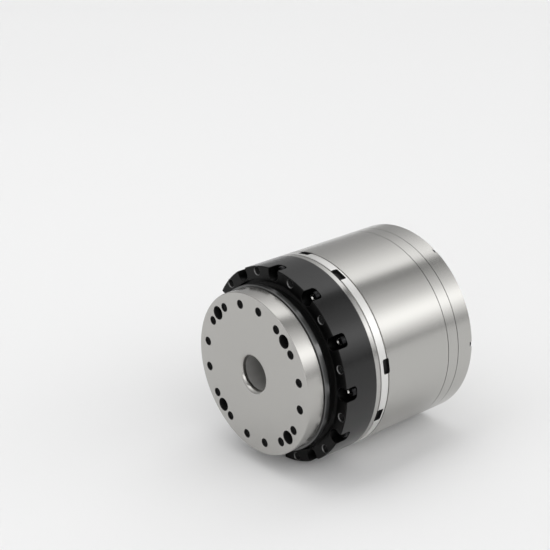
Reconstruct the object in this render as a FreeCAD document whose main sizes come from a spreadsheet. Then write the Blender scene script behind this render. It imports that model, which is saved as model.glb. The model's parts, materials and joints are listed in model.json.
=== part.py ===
"""Hollow-shaft robot joint actuator: strain wave gear, frameless motor, brake, two encoders.

The shaft's axis is Y. The output flange faces -Y and the motor lies towards +Y.
The origin is on the axis, in the plane of the housing's mounting face. Lengths are in millimetres.
"""

import FreeCAD, Part
import Sketcher
import math
import os
from types import SimpleNamespace

SIZES = {
    # Housing
    "ring_wall": 6.1,
    "edge_break": 0.4,
    # Output flange
    "flange_reach": 14.0,
    "flange_thickness": 8.3,
    "flange_inset": 0.85,
    "mouth_gap": 0.4,
    "mouth_depth": 2.7,
    "mouth_break": 1.3,
    "output_circle_inset": 5.5,
    "output_hole_count": 16,
    "output_hole_radius": 1.9,
    "output_hole_depth": 7.0,
    "dowel_count": 4,
    "dowel_angle": 45.0,
    "dowel_radius": 3.0,
    "dowel_depth": 6.5,
    # Strain wave gear
    "tooth_module": 0.5,
    "flex_tooth_count": 100,
    "tooth_difference": 2,
    "tooth_above": 0.4,
    "tooth_below": 0.55,
    "tooth_thickness": 0.72,
    "tooth_blank_margin": 1.0,
    "pressure_angle": 20.0,
    "spline_flange_step": 3.0,
    "spline_flange_thickness": 2.7,
    "spline_shadow_gap": 0.25,
    "spline_register_step": 1.2,
    "ring_gear_wall": 9.5,
    "flex_front_gap": 1.1,
    "flex_wall": 0.5,
    "flex_web_inset": 2.5,
    "flex_web_thickness": 0.6,
    "flex_web_gap": 0.5,
    "brim_thickness": 2.6,
    "wave_front_gap": 2.0,
    "wave_width": 8.0,
    "outer_race_thickness": 0.9,
    "inner_race_thickness": 1.7,
    "wave_ball_radius": 1.6,
    "wave_ball_count": 19,
    "ball_clearance": 0.1,
    "outer_race_gap": 0.05,
    # Crossed roller bearing
    "seal_shoulder": 0.2,
    "output_bearing_width": 9.0,
    "inner_ring_wall": 8.2,
    "roller_size": 4.0,
    "roller_end_gap": 0.2,
    "roller_clearance": 0.04,
    "roller_count": 28,
    "race_gap": 1.0,
    "inner_ring_step": 1.0,
    "inner_ring_gap": 0.8,
    "outer_ring_wall": 3.2,
    "cage_wall": 0.6,
    "cage_width": 8.0,
    # Long screws that tie the inner ring, the gear ring and the flange
    "tie_circle_step": 3.5,
    "tie_screw_length": 24.0,
    # Mounting ring and its screws
    "ring_length": 17.4,
    "recess_gap": 1.2,
    "recess_depth": 2.6,
    "seal_height": 2.2,
    "seal_width": 2.2,
    "seal_running_gap": 0.1,
    "housing_circle_inset": 2.25,
    "housing_hole_count": 12,
    "housing_hole_radius": 1.8,
    "housing_hole_depth": 10.0,
    "pocket_circle_inset": 2.6,
    "pocket_width": 6.1,
    "pocket_depth": 5.9,
    "pocket_round": 1.5,
    "pocket_side_step": 0.05,
    "screw_seat_step": 0.1,
    "screw_radius": 1.5,
    "screw_clearance": 0.1,
    "screw_head_radius": 2.5,
    "screw_head_height": 3.0,
    "screw_socket_flats": 2.5,
    "screw_socket_depth": 1.4,
    "ring_screw_length": 25.0,
    # Motor adapter
    "adapter_band_width": 4.55,
    "adapter_groove": 0.35,
    "adapter_plate_thickness": 3.4,
    "adapter_spigot_length": 3.0,
    "spigot_gap": 0.05,
    "spigot_wall": 2.6,
    "notch_centre_angle": 7.0,
    "notch_half_spread": 15.8,
    "notch_length": 6.7,
    "notch_width": 2.9,
    "notch_overrun": 0.6,
    "notch_depth": 1.7,
    "notch_pair_count": 4,
    "adapter_hub_reach": 4.6,
    "input_seal_width": 4.0,
    "input_seal_height": 4.0,
    "bearing_seat_wall": 3.0,
    # Rotor shaft and its two bearings
    "tube_running_gap": 0.8,
    "shaft_wall": 2.9,
    "shaft_front_gap": 1.3,
    "shaft_tail_step": 1.1,
    "rotor_bearing_height": 6.0,
    "rotor_bearing_width": 7.0,
    "front_bearing_start": 0.8,
    "bearing_ring_wall": 1.5,
    "bearing_shield_thickness": 0.5,
    "bearing_ball_gap": 0.05,
    "bearing_ball_count": 13,
    # Motor
    "housing_wall": 4.6,
    "stator_stop_step": 1.0,
    "stator_stop_length": 10.0,
    "stator_front_gap": 0.6,
    "stator_length": 15.0,
    "stator_tooth_count": 18,
    "stator_height": 12.2,
    "stator_yoke": 3.4,
    "stator_tooth_width": 4.4,
    "stator_shoe_width": 8.4,
    "stator_shoe_height": 1.4,
    "stator_foot_overlap": 1.0,
    "winding_thickness": 2.0,
    "winding_overhang": 2.6,
    "winding_corner": 1.2,
    "winding_yoke_gap": 1.1,
    "winding_shoe_gap": 0.1,
    "winding_liner": 0.05,
    "air_gap": 0.5,
    "magnet_count": 20,
    "magnet_thickness": 1.8,
    "magnet_fill": 0.86,
    "rotor_rim_thickness": 2.4,
    "rotor_web_thickness": 4.0,
    # Brake
    "brake_front_gap": 2.0,
    "brake_plate_thickness": 1.6,
    "brake_outer_gap": 2.0,
    "brake_bore_step": 5.7,
    "brake_running_gap": 0.05,
    "brake_disc_thickness": 2.0,
    "brake_disc_gap": 0.45,
    "brake_hub_wall": 2.5,
    "brake_hub_gap": 0.1,
    "armature_thickness": 1.8,
    "armature_bore_gap": 1.0,
    "armature_travel": 0.2,
    "brake_pillar_count": 3,
    "brake_pillar_radius": 1.75,
    "brake_pillar_margin": 0.45,
    "brake_pillar_gap": 0.3,
    "brake_core_wall": 3.1,
    "brake_coil_wall": 5.8,
    "brake_coil_length": 3.4,
    "brake_coil_housing_length": 5.3,
    # Rear shield
    "shield_band_width": 6.2,
    "shield_plate_thickness": 3.0,
    "shield_spigot_length": 2.0,
    "rear_bearing_inset": 3.6,
    "rear_hub_lip": 0.8,
    "rear_wall": 5.4,
    "seam_groove": 0.18,
    "rear_lip_step": 3.0,
    # Boards and encoders
    "board_gap": 0.6,
    "driver_board_gap": 1.6,
    "board_thickness": 1.4,
    "encoder_disc_clearance": 2.0,
    "input_disc_gap": 1.6,
    "encoder_disc_thickness": 1.0,
    "encoder_disc_radius": 21.5,
    "encoder_board_gap": 1.3,
    "encoder_board_bore_gap": 1.6,
    "output_disc_gap": 0.9,
    "board_pillar_count": 3,
    "board_pillar_radius": 2.0,
    "board_pillar_inset": 3.5,
    # Rear cap
    "cap_inside_gap": 1.3,
    "cap_floor": 2.65,
    "cap_edge": 0.8,
    "cap_screw_count": 6,
    "cap_screw_angle": 30.0,
    "cap_circle_inset": 2.8,
    "cap_screw_head_height": 1.6,
    "cap_screw_length": 20.0,
    "cap_pocket_radius": 3.0,
    "cap_head_inset": 0.15,
    "bushing_wall": 1.6,
    # Hollow output tube
    "tube_bore_radius": 8.0,
    "tube_wall": 0.8,
    "tube_end_inset": 0.9,
    "bushing_gap": 0.05,
    "bushing_reach": 1.05,
    # Sockets on the rear
    "socket_circle_inset": 9.6,
    "power_socket_length": 14.0,
    "power_socket_width": 6.4,
    "power_opening_length": 11.0,
    "power_opening_width": 3.6,
    "bus_socket_length": 9.0,
    "bus_socket_width": 5.0,
    "bus_opening_length": 7.0,
    "bus_opening_width": 2.6,
    "bus_socket_angle": 42.0,
    "socket_opening_depth": 4.4,
    "socket_window_gap": 0.3,
    "socket_inset": 0.35,
}

doc = FreeCAD.newDocument("joint_actuator")
sheet = doc.addObject("Spreadsheet::Sheet", "Sizes")


class Size:
    """A length of the sheet or a sum of such lengths, as an expression and as a number."""

    def __init__(self, text, number):
        self.text = text
        self.number = number

    def joined(self, sign, other, number):
        text = other.text if isinstance(other, Size) else repr(other)
        return Size(f"({self.text} {sign} {text})", number)

    def __add__(self, other):
        return self.joined("+", other, self.number + plain(other))

    def __sub__(self, other):
        return self.joined("-", other, self.number - plain(other))

    def __mul__(self, other):
        return self.joined("*", other, self.number * plain(other))

    def __truediv__(self, other):
        return self.joined("/", other, self.number / plain(other))

    def __neg__(self):
        return self * -1.0


def plain(value):
    """The number behind a size, or the number itself."""
    return value.number if isinstance(value, Size) else float(value)


def sine(angle):
    """Sine of an angle in degrees, as a size."""
    return Size(f"sin({angle.text} * 1 deg)", math.sin(math.radians(angle.number)))


def cosine(angle):
    """Cosine of an angle in degrees, as a size."""
    return Size(f"cos({angle.text} * 1 deg)", math.cos(math.radians(angle.number)))


def filled_sheet():
    """Write every driving dimension to the sheet and give them back as sizes."""
    for row, (name, number) in enumerate(SIZES.items(), start=1):
        sheet.set(f"A{row}", name)
        sheet.set(f"B{row}", str(number))
        sheet.setAlias(f"B{row}", name)
    doc.recompute()
    sizes = {name: Size(f"Sizes.{name}", float(sheet.get(name))) for name in SIZES}
    return SimpleNamespace(**sizes)


s = filled_sheet()
ZERO = s.ring_length * 0.0
NO_ANGLE = ZERO

# Radii of the cable tube, the rotor shaft and its bearings, from the bore outwards
tube_radius = s.tube_bore_radius + s.tube_wall
bushing_bore = tube_radius + s.bushing_gap
cap_hole_radius = tube_radius + s.bushing_wall
encoder_board_bore = tube_radius + s.encoder_board_bore_gap
mouth_radius = tube_radius + s.mouth_gap
shaft_bore_radius = tube_radius + s.tube_running_gap
shaft_radius = shaft_bore_radius + s.shaft_wall
shaft_tail_radius = shaft_radius - s.shaft_tail_step
input_seal_radius = shaft_radius + s.input_seal_height
rotor_bearing_radius = shaft_radius + s.rotor_bearing_height
bearing_inner_land = shaft_radius + s.bearing_ring_wall
bearing_outer_land = rotor_bearing_radius - s.bearing_ring_wall
bearing_ball_circle = (shaft_radius + rotor_bearing_radius) / 2.0
bearing_ball_radius = (bearing_outer_land - bearing_inner_land) / 2.0 - s.bearing_ball_gap
seat_outer_radius = rotor_bearing_radius + s.bearing_seat_wall
rear_lip_radius = shaft_radius + s.rear_lip_step
driver_board_bore = s.encoder_disc_radius + s.encoder_disc_clearance

# Radii of the strain wave gear and of what stands round it, from the teeth outwards
ring_tooth_count = s.flex_tooth_count + s.tooth_difference
flex_pitch_radius = s.tooth_module * s.flex_tooth_count / 2.0
ring_pitch_radius = s.tooth_module * ring_tooth_count / 2.0
wave_height = ring_pitch_radius - flex_pitch_radius
flex_root_radius = flex_pitch_radius - s.tooth_below
flex_inner_radius = flex_root_radius - s.flex_wall
outer_race_radius = flex_inner_radius - s.outer_race_gap
outer_race_inner_radius = outer_race_radius - s.outer_race_thickness
wave_ball_circle = outer_race_inner_radius - s.wave_ball_radius - s.ball_clearance
inner_race_radius = wave_ball_circle - s.wave_ball_radius - s.ball_clearance
plug_radius = inner_race_radius - s.inner_race_thickness
spline_radius = ring_pitch_radius + s.ring_gear_wall
spline_register_radius = spline_radius + s.spline_register_step
spline_flange_radius = spline_radius + s.spline_flange_step
flange_radius = spline_flange_radius - s.flange_inset
output_circle_radius = flange_radius - s.output_circle_inset
flex_web_radius = spline_radius - s.flex_web_inset
inner_ring_radius = ring_pitch_radius + s.inner_ring_step
tie_circle_radius = inner_ring_radius + s.tie_circle_step
inner_land_radius = inner_ring_radius + s.inner_ring_wall
roller_pitch_radius = inner_land_radius + s.race_gap / 2.0
roller_length = s.roller_size - s.roller_end_gap
outer_land_radius = inner_land_radius + s.race_gap
outer_ring_radius = outer_land_radius + s.outer_ring_wall
seal_radius = spline_radius + s.seal_height
recess_radius = spline_flange_radius + s.recess_gap
body_radius = outer_ring_radius + s.ring_wall

# Radii inside the housing, from its outside inwards
housing_circle_radius = body_radius - s.housing_circle_inset
pocket_circle_radius = body_radius - s.pocket_circle_inset
cap_screw_circle = body_radius - s.cap_circle_inset
housing_bore_radius = body_radius - s.housing_wall
adapter_spigot_radius = housing_bore_radius - s.spigot_gap
stator_bore_radius = housing_bore_radius - s.stator_height
magnet_radius = stator_bore_radius - s.air_gap
rotor_rim_radius = magnet_radius - s.magnet_thickness
rotor_rim_inner = rotor_rim_radius - s.rotor_rim_thickness
stator_stop_radius = housing_bore_radius - s.stator_stop_step
brake_radius = stator_stop_radius - s.brake_outer_gap
brake_pillar_circle = brake_radius - s.brake_pillar_margin - s.brake_pillar_radius
brake_disc_radius = brake_pillar_circle - s.brake_pillar_radius - s.brake_disc_gap
brake_coil_outer = brake_radius - s.brake_coil_wall
brake_coil_inner = seat_outer_radius + s.brake_core_wall
brake_hub_flats = (shaft_radius + s.brake_hub_wall) * 2.0
brake_bore_radius = shaft_radius + s.brake_bore_step
wall_inner_radius = body_radius - s.rear_wall
board_radius = wall_inner_radius - s.board_gap
board_pillar_circle = board_radius - s.board_pillar_inset
socket_circle_radius = wall_inner_radius - s.socket_circle_inset

# Screws and their pockets
screw_hole_radius = s.screw_radius + s.screw_clearance
pocket_radius = s.pocket_width / 2.0
screw_pocket_radius = s.screw_head_radius + s.screw_clearance
screw_seat_radius = pocket_radius - s.pocket_side_step
screw_seat_depth = s.pocket_depth + s.screw_seat_step
tie_pocket_depth = s.screw_head_height + s.screw_clearance * 2.0
cap_pocket_depth = s.cap_screw_head_height + s.cap_head_inset

# Places along the axis, from the mounting face
flange_front = -s.flange_reach
flange_rear = flange_front + s.flange_thickness
mouth_end = flange_front + s.mouth_depth
spline_flange_rear = flange_rear + s.spline_flange_thickness
flex_front = flange_rear + s.flex_front_gap
shaft_front = flange_rear + s.shaft_front_gap
wave_front = flange_rear + s.wave_front_gap
wave_rear = wave_front + s.wave_width
bearing_front = s.recess_depth + s.seal_width + s.seal_shoulder
spline_rear = bearing_front
brim_front = s.ring_length
brim_rear = brim_front + s.brim_thickness
inner_ring_rear = brim_front - s.inner_ring_gap
outer_ring_rear = bearing_front + s.output_bearing_width
roller_centre = bearing_front + s.output_bearing_width / 2.0
input_seal_front = brim_rear - s.adapter_hub_reach
adapter_rear = brim_rear + s.adapter_band_width
front_bearing_front = brim_rear + s.front_bearing_start
front_bearing_rear = front_bearing_front + s.rotor_bearing_width
stator_front = front_bearing_rear + s.stator_front_gap + s.winding_overhang
stator_rear = stator_front + s.stator_length
brake_front = stator_rear + s.winding_overhang + s.brake_front_gap
plate_rear = brake_front + s.brake_plate_thickness
disc_front = plate_rear + s.brake_running_gap
disc_rear = disc_front + s.brake_disc_thickness
armature_front = disc_rear + s.brake_running_gap
armature_rear = armature_front + s.armature_thickness
coil_front = armature_rear + s.armature_travel
housing_rear = coil_front + s.brake_coil_housing_length
rear_bearing_front = housing_rear - s.rear_bearing_inset
rear_bearing_rear = rear_bearing_front + s.rotor_bearing_width
lip_rear = rear_bearing_rear + s.rear_hub_lip
shield_plate_rear = housing_rear + s.shield_plate_thickness
shield_rear = housing_rear + s.shield_band_width
driver_board_front = shield_plate_rear + s.driver_board_gap
driver_board_rear = driver_board_front + s.board_thickness
input_disc_front = lip_rear + s.input_disc_gap
input_disc_rear = input_disc_front + s.encoder_disc_thickness
encoder_board_front = input_disc_rear + s.encoder_board_gap
encoder_board_rear = encoder_board_front + s.board_thickness
output_disc_front = encoder_board_rear + s.output_disc_gap
output_disc_rear = output_disc_front + s.encoder_disc_thickness
cap_inside = output_disc_rear + s.cap_inside_gap
cap_rear = cap_inside + s.cap_floor
tube_rear = cap_rear - s.tube_end_inset


def origin_plane(body, role):
    """The plane or axis of a body's own origin that has this role."""
    return next(item for item in body.Origin.OriginFeatures if item.Role == role)


def new_body(label):
    """An empty body, which may hold several separate solids."""
    body = doc.addObject("PartDesign::Body", label)
    body.Label = label
    body.AllowCompound = True
    return body


def sketch_on(body, role, offset=None):
    """A sketch on one of the body's planes, moved along the plane's own direction by an offset."""
    sketch = body.newObject("Sketcher::SketchObject", f"{body.Name}_sketch")
    sketch.AttachmentSupport = (origin_plane(body, role), [""])
    sketch.MapMode = "FlatFace"
    if offset is not None:
        sketch.setExpression(".AttachmentOffset.Base.z", offset.text)
    return sketch


def cross_sketch(body, place):
    """A sketch square to the Y axis, at a place along it."""
    return sketch_on(body, "XZ_Plane", -place)


def hold(sketch, index, point, across, up):
    """Hold a point of the sketch at two sizes from the sketch's origin."""
    for kind, size in (("DistanceX", across), ("DistanceY", up)):
        pin = sketch.addConstraint(Sketcher.Constraint(kind, -1, 1, index, point, size.number))
        sketch.setExpression(f"Constraints[{pin}]", size.text)


def draw_outline(sketch, corners):
    """Draw a closed outline of straight lines through corners that are pairs of sizes."""
    ends = corners[1:] + corners[:1]
    first = sketch.GeometryCount
    for start, end in zip(corners, ends):
        line = Part.LineSegment(
            FreeCAD.Vector(start[0].number, start[1].number, 0),
            FreeCAD.Vector(end[0].number, end[1].number, 0),
        )
        sketch.addGeometry(line, False)
    for index, corner in enumerate(corners):
        following = (index + 1) % len(corners)
        joint = Sketcher.Constraint("Coincident", first + index, 2, first + following, 1)
        sketch.addConstraint(joint)
        hold(sketch, first + index, 1, corner[0], corner[1])


def draw_circle(sketch, radius, across, up):
    """Draw a circle of a given radius about a point given by two sizes."""
    centre = FreeCAD.Vector(across.number, up.number, 0)
    circle = Part.Circle(centre, FreeCAD.Vector(0, 0, 1), radius.number)
    index = sketch.addGeometry(circle, False)
    hold(sketch, index, 3, across, up)
    pin = sketch.addConstraint(Sketcher.Constraint("Radius", index, radius.number))
    sketch.setExpression(f"Constraints[{pin}]", radius.text)


def turn(body, corners):
    """Turn an outline of (place along the axis, radius) corners about the Y axis."""
    sketch = sketch_on(body, "YZ_Plane")
    draw_outline(sketch, corners)
    feature = body.newObject("PartDesign::Revolution", f"{body.Name}_turn")
    feature.Profile = sketch
    feature.ReferenceAxis = (sketch, ["H_Axis"])
    feature.Angle = 360
    body.Tip = feature
    return feature


def turned(label, corners):
    """A body that is one turned outline."""
    body = new_body(label)
    turn(body, corners)
    return body


def extrude(body, kind, sketch, length):
    """Pad or pocket a sketch from its plane towards +Y."""
    feature = body.newObject(f"PartDesign::{kind}", f"{body.Name}_{kind.lower()}")
    feature.Profile = sketch
    feature.setExpression("Length", length.text)
    if kind == "Pad":
        feature.Reversed = True
    doc.recompute()
    return feature


def round_feature(body, kind, place, length, radius, circle, angle=NO_ANGLE):
    """Pad or pocket one circle that stands on a circle about the axis."""
    sketch = cross_sketch(body, place)
    draw_circle(sketch, radius, circle * sine(angle), circle * cosine(angle))
    return extrude(body, kind, sketch, length)


def around(body, features, count):
    """Repeat features evenly about the Y axis."""
    pattern = body.newObject("PartDesign::PolarPattern", f"{body.Name}_around")
    pattern.Originals = features
    pattern.Axis = (origin_plane(body, "Y_Axis"), [""])
    pattern.Angle = 360
    pattern.setExpression("Occurrences", count.text)
    body.Tip = pattern
    doc.recompute()
    return pattern


def drill(body, place, depth, radius, circle, count, angle=NO_ANGLE):
    """A circle of round holes from a place towards +Y."""
    around(body, [round_feature(body, "Pocket", place, depth, radius, circle, angle)], count)


def ring(label, front, rear, inner, outer):
    """A plain ring between two places and two radii."""
    return turned(label, [(front, inner), (front, outer), (rear, outer), (rear, inner)])


def shape_node(label, shape):
    """A part whose shape comes from a formula rather than from a sketch."""
    feature = doc.addObject("Part::Feature", label)
    feature.Label = label
    feature.Shape = shape
    return feature


def vector(radius, angle, place):
    """The point at a radius and an angle in degrees about the Y axis, from +Z towards +X."""
    turn_angle = math.radians(angle)
    return FreeCAD.Vector(radius * math.sin(turn_angle), place, radius * math.cos(turn_angle))


Y_AXIS = FreeCAD.Vector(0, 1, 0)
AXIS_POINT = FreeCAD.Vector(0, 0, 0)


def copies_around(shape, count, angle=0.0):
    """A compound of copies of a shape turned about the Y axis."""
    copies = []
    for index in range(count):
        copy = shape.copy()
        copy.rotate(AXIS_POINT, Y_AXIS, angle + 360.0 * index / count)
        copies.append(copy)
    return Part.makeCompound(copies)


def prism(points, length):
    """A prism along +Y from a closed outline of points."""
    outline = Part.makePolygon(points + points[:1])
    return Part.Face(outline).extrude(Y_AXIS * length)


def output_flange():
    """The satin flange that the load bolts to, with its soft-edged centre bore."""
    body = turned(
        "output_flange",
        [
            (flange_front, mouth_radius + s.mouth_break),
            (flange_front, flange_radius - s.edge_break),
            (flange_front + s.edge_break, flange_radius),
            (flange_rear, flange_radius),
            (flange_rear, tube_radius),
            (mouth_end, tube_radius),
            (mouth_end, mouth_radius),
            (flange_front + s.mouth_break, mouth_radius),
        ],
    )
    half_step = Size(f"(180 / {s.output_hole_count.text})", 180.0 / s.output_hole_count.number)
    drill(
        body,
        flange_front,
        s.output_hole_depth,
        s.output_hole_radius,
        output_circle_radius,
        s.output_hole_count,
        half_step,
    )
    drill(
        body,
        flange_front,
        s.dowel_depth,
        s.dowel_radius,
        output_circle_radius,
        s.dowel_count,
        s.dowel_angle,
    )
    tie_depth = s.tie_screw_length - (inner_ring_rear - tie_pocket_depth - flange_rear)
    tie_holes(body, flange_rear - tie_depth, tie_depth, s.screw_radius)


def tie_angles():
    """The angles midway between output screws that no dowel hole takes."""
    step = 360.0 / s.output_hole_count.number
    dowel_step = 360.0 / s.dowel_count.number
    angles = [step * index for index in range(int(s.output_hole_count.number))]
    return [angle for angle in angles if abs((angle - s.dowel_angle.number) % dowel_step) > 0.01]


def tie_group():
    """The angles of the tie screws in the first quarter, which is repeated at each dowel."""
    dowel_step = 360.0 / s.dowel_count.number
    return [Size(f"({angle})", angle) for angle in tie_angles() if angle < dowel_step]


def tie_holes(body, place, depth, radius):
    """The holes of the tie screws, which run along Y from a place."""
    pockets = [
        round_feature(body, "Pocket", place, depth, radius, tie_circle_radius, angle)
        for angle in tie_group()
    ]
    around(body, pockets, s.dowel_count)


def tooth_half_widths():
    """Half widths of a tooth at its root and at its tip."""
    slope = math.tan(math.radians(s.pressure_angle.number))
    root = s.tooth_thickness.number / 2.0 + s.tooth_below.number * slope
    tip = s.tooth_thickness.number / 2.0 - s.tooth_above.number * slope
    return root, tip


def ring_tooth_outline(place):
    """The inner outline of the ring gear, one straight-flanked tooth after another."""
    count = int(ring_tooth_count.number)
    pitch = ring_pitch_radius.number
    root_radius = pitch + s.tooth_below.number
    tip_radius = pitch - s.tooth_above.number
    root_half, tip_half = tooth_half_widths()
    points = []
    for index in range(count):
        centre = 360.0 * (index + 0.5) / count
        for radius, half in (
            (root_radius, -root_half),
            (tip_radius, -tip_half),
            (tip_radius, tip_half),
            (root_radius, root_half),
        ):
            points.append(vector(radius, centre + math.degrees(half / pitch), place))
    return points


def flex_tooth_outline(place):
    """The outer outline of the flexible gear, pushed into an oval by the wave generator."""
    count = int(s.flex_tooth_count.number)
    pitch = flex_pitch_radius.number
    height = wave_height.number
    root_half, tip_half = tooth_half_widths()
    points = []
    for index in range(count):
        free = 2.0 * math.pi * index / count
        centre = math.degrees(free - height / (2.0 * pitch) * math.sin(2.0 * free))
        middle = pitch + height * math.cos(2.0 * free)
        for radius, half in (
            (middle - s.tooth_below.number, -root_half),
            (middle + s.tooth_above.number, -tip_half),
            (middle + s.tooth_above.number, tip_half),
            (middle - s.tooth_below.number, root_half),
        ):
            points.append(vector(radius, centre + math.degrees(half / pitch), place))
    return points


def oval_wire(radius, place):
    """The oval that a circle of this radius becomes under the wave generator."""
    ellipse = Part.Ellipse(AXIS_POINT, radius + wave_height.number, radius - wave_height.number)
    edge = ellipse.toShape()
    edge.rotate(AXIS_POINT, FreeCAD.Vector(0, 0, 1), 90)
    edge.rotate(AXIS_POINT, FreeCAD.Vector(1, 0, 0), 90)
    edge.translate(Y_AXIS * place)
    return Part.Wire(edge)


def oval_prism(radius, front, rear):
    """An oval disc between two places."""
    return Part.Face(oval_wire(radius, front)).extrude(Y_AXIS * (rear - front))


def cylinder(radius, front, rear):
    """A round disc about the axis between two places."""
    return Part.makeCylinder(radius, rear - front, Y_AXIS * front, Y_AXIS)


def cut_part(label, base, tool):
    """A boolean cut of two objects of the document."""
    result = doc.addObject("Part::Cut", label)
    result.Base = base
    result.Tool = tool
    result.Label = label
    return result


def ring_gear():
    """The rigid internal gear, which carries the output flange."""
    blank_inner = ring_pitch_radius - s.tooth_above - s.tooth_blank_margin
    blank = turned(
        "ring_gear_blank",
        [
            (flange_rear, blank_inner),
            (flange_rear, spline_register_radius),
            (flange_rear + s.spline_shadow_gap, spline_register_radius),
            (flange_rear + s.spline_shadow_gap, spline_flange_radius),
            (spline_flange_rear, spline_flange_radius),
            (spline_flange_rear, spline_radius),
            (spline_rear, spline_radius),
            (spline_rear, blank_inner),
        ],
    )
    tie_holes(blank, flange_rear, spline_rear - flange_rear, screw_hole_radius)
    start = flange_rear.number
    length = spline_rear.number - start
    tool = shape_node("ring_gear_tooth_space", prism(ring_tooth_outline(start), length))
    return cut_part("ring_gear", blank, tool)


def flexible_gear():
    """The thin toothed cup with its wide brim, which shows as the first bright band."""
    web_front = brim_rear.number - s.flex_web_gap.number - s.flex_web_thickness.number
    web_rear = brim_rear.number - s.flex_web_gap.number
    front = flex_front.number
    rear = spline_rear.number
    root = flex_root_radius.number
    inner = flex_inner_radius.number
    teeth = prism(flex_tooth_outline(front), rear - front)
    round_end = Part.Wire(Part.makeCircle(root, Y_AXIS * web_rear, Y_AXIS))
    wall = Part.makeLoft([oval_wire(root, rear), round_end], True)
    brim = cylinder(body_radius.number, brim_front.number, brim_rear.number)
    brim = brim.cut(cylinder(flex_web_radius.number, brim_front.number, web_front))
    brim = brim.cut(cylinder(flex_web_radius.number, web_rear, brim_rear.number))
    solid = teeth.fuse(wall).fuse(brim)
    round_bore = Part.Wire(Part.makeCircle(inner, Y_AXIS * web_rear, Y_AXIS))
    bore = Part.makeLoft([oval_wire(inner, rear), round_bore], True)
    solid = solid.cut(oval_prism(inner, front, rear)).cut(bore)
    hole = Part.makeCylinder(
        screw_hole_radius.number,
        s.brim_thickness.number,
        FreeCAD.Vector(0, brim_front.number, pocket_circle_radius.number),
        Y_AXIS,
    )
    holes = copies_around(hole, int(s.housing_hole_count.number))
    return shape_node("flexible_gear", solid.cut(holes).removeSplitter())


def ball(radius):
    """A ball with eighteen flats, so that a ring of balls stays light."""
    side = 2.0 * radius
    corner = FreeCAD.Vector(-radius, -radius, -radius)
    block = Part.makeBox(side, side, side, corner)
    result = block
    for axis in (FreeCAD.Vector(1, 0, 0), FreeCAD.Vector(0, 1, 0), FreeCAD.Vector(0, 0, 1)):
        turned_block = block.copy()
        turned_block.rotate(AXIS_POINT, axis, 45)
        result = result.common(turned_block)
    return result


def balls(label, radius, circle, place, count, oval=0.0):
    """A ring of balls, drawn out to an oval where the race is one."""
    copies = []
    for index in range(count):
        angle = 360.0 * index / count
        reach = circle + oval * math.cos(2.0 * math.radians(angle))
        copy = ball(radius)
        copy.rotate(AXIS_POINT, Y_AXIS, angle)
        copy.translate(vector(reach, angle, place))
        copies.append(copy)
    return shape_node(label, Part.makeCompound(copies))


def wave_generator():
    """The oval plug on the rotor shaft and the thin bearing round it."""
    front = wave_front.number
    rear = wave_rear.number
    plug = oval_prism(plug_radius.number, front, rear)
    shape_node("wave_plug", plug.cut(cylinder(shaft_radius.number, front, rear)))
    inner = oval_prism(inner_race_radius.number, front, rear)
    shape_node("wave_inner_race", inner.cut(oval_prism(plug_radius.number, front, rear)))
    outer = oval_prism(outer_race_radius.number, front, rear)
    outer_bore = oval_prism(outer_race_inner_radius.number, front, rear)
    shape_node("wave_outer_race", outer.cut(outer_bore))
    balls(
        "wave_balls",
        s.wave_ball_radius.number,
        wave_ball_circle.number,
        (front + rear) / 2.0,
        int(s.wave_ball_count.number),
        wave_height.number,
    )


def output_bearing():
    """The crossed roller bearing between the mounting ring and the gear ring."""
    diagonal = s.roller_size * (math.sqrt(2.0) / 2.0) + s.roller_clearance
    groove_half = diagonal - s.race_gap / 2.0
    inner_ring = turned(
        "bearing_inner_ring",
        [
            (spline_rear, inner_ring_radius),
            (spline_rear, inner_land_radius),
            (roller_centre - groove_half, inner_land_radius),
            (roller_centre, roller_pitch_radius - diagonal),
            (roller_centre + groove_half, inner_land_radius),
            (inner_ring_rear, inner_land_radius),
            (inner_ring_rear, inner_ring_radius),
        ],
    )
    tie_holes(inner_ring, spline_rear, inner_ring_rear - spline_rear, screw_hole_radius)
    tie_holes(inner_ring, inner_ring_rear - tie_pocket_depth, tie_pocket_depth, screw_pocket_radius)
    turned(
        "bearing_outer_ring",
        [
            (bearing_front, outer_ring_radius),
            (bearing_front, outer_land_radius),
            (roller_centre - groove_half, outer_land_radius),
            (roller_centre, roller_pitch_radius + diagonal),
            (roller_centre + groove_half, outer_land_radius),
            (outer_ring_rear, outer_land_radius),
            (outer_ring_rear, outer_ring_radius),
        ],
    )
    ring(
        "bearing_clamp_ring",
        outer_ring_rear,
        brim_front,
        outer_land_radius + s.race_gap / 2.0,
        outer_ring_radius,
    )
    crossed_rollers()


def crossed_rollers():
    """The rollers, tilted one way and the other in turn, and the thin cage that spaces them."""
    size = s.roller_size.number
    length = roller_length.number
    pitch = roller_pitch_radius.number
    place = roller_centre.number
    count = int(s.roller_count.number)
    rollers = []
    windows = []
    for index in range(count):
        roller = Part.makeCylinder(size / 2.0, length, FreeCAD.Vector(0, 0, -length / 2.0))
        tilt = 45.0 if index % 2 else -45.0
        roller.rotate(AXIS_POINT, FreeCAD.Vector(1, 0, 0), tilt)
        roller.translate(FreeCAD.Vector(0, place, pitch))
        roller.rotate(AXIS_POINT, Y_AXIS, 360.0 * index / count)
        rollers.append(roller)
        width = size + s.screw_clearance.number * 2.0
        height = width * math.sqrt(2.0)
        corner = FreeCAD.Vector(-width / 2.0, place - height / 2.0, pitch - size / 2.0)
        window = Part.makeBox(width, height, size, corner)
        window.rotate(AXIS_POINT, Y_AXIS, 360.0 * index / count)
        windows.append(window)
    shape_node("crossed_rollers", Part.makeCompound(rollers))
    half = s.cage_width.number / 2.0
    cage = cylinder(pitch + s.cage_wall.number / 2.0, place - half, place + half)
    cage = cage.cut(cylinder(pitch - s.cage_wall.number / 2.0, place - half, place + half))
    shape_node("roller_cage", cage.cut(Part.makeCompound(windows)))


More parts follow.
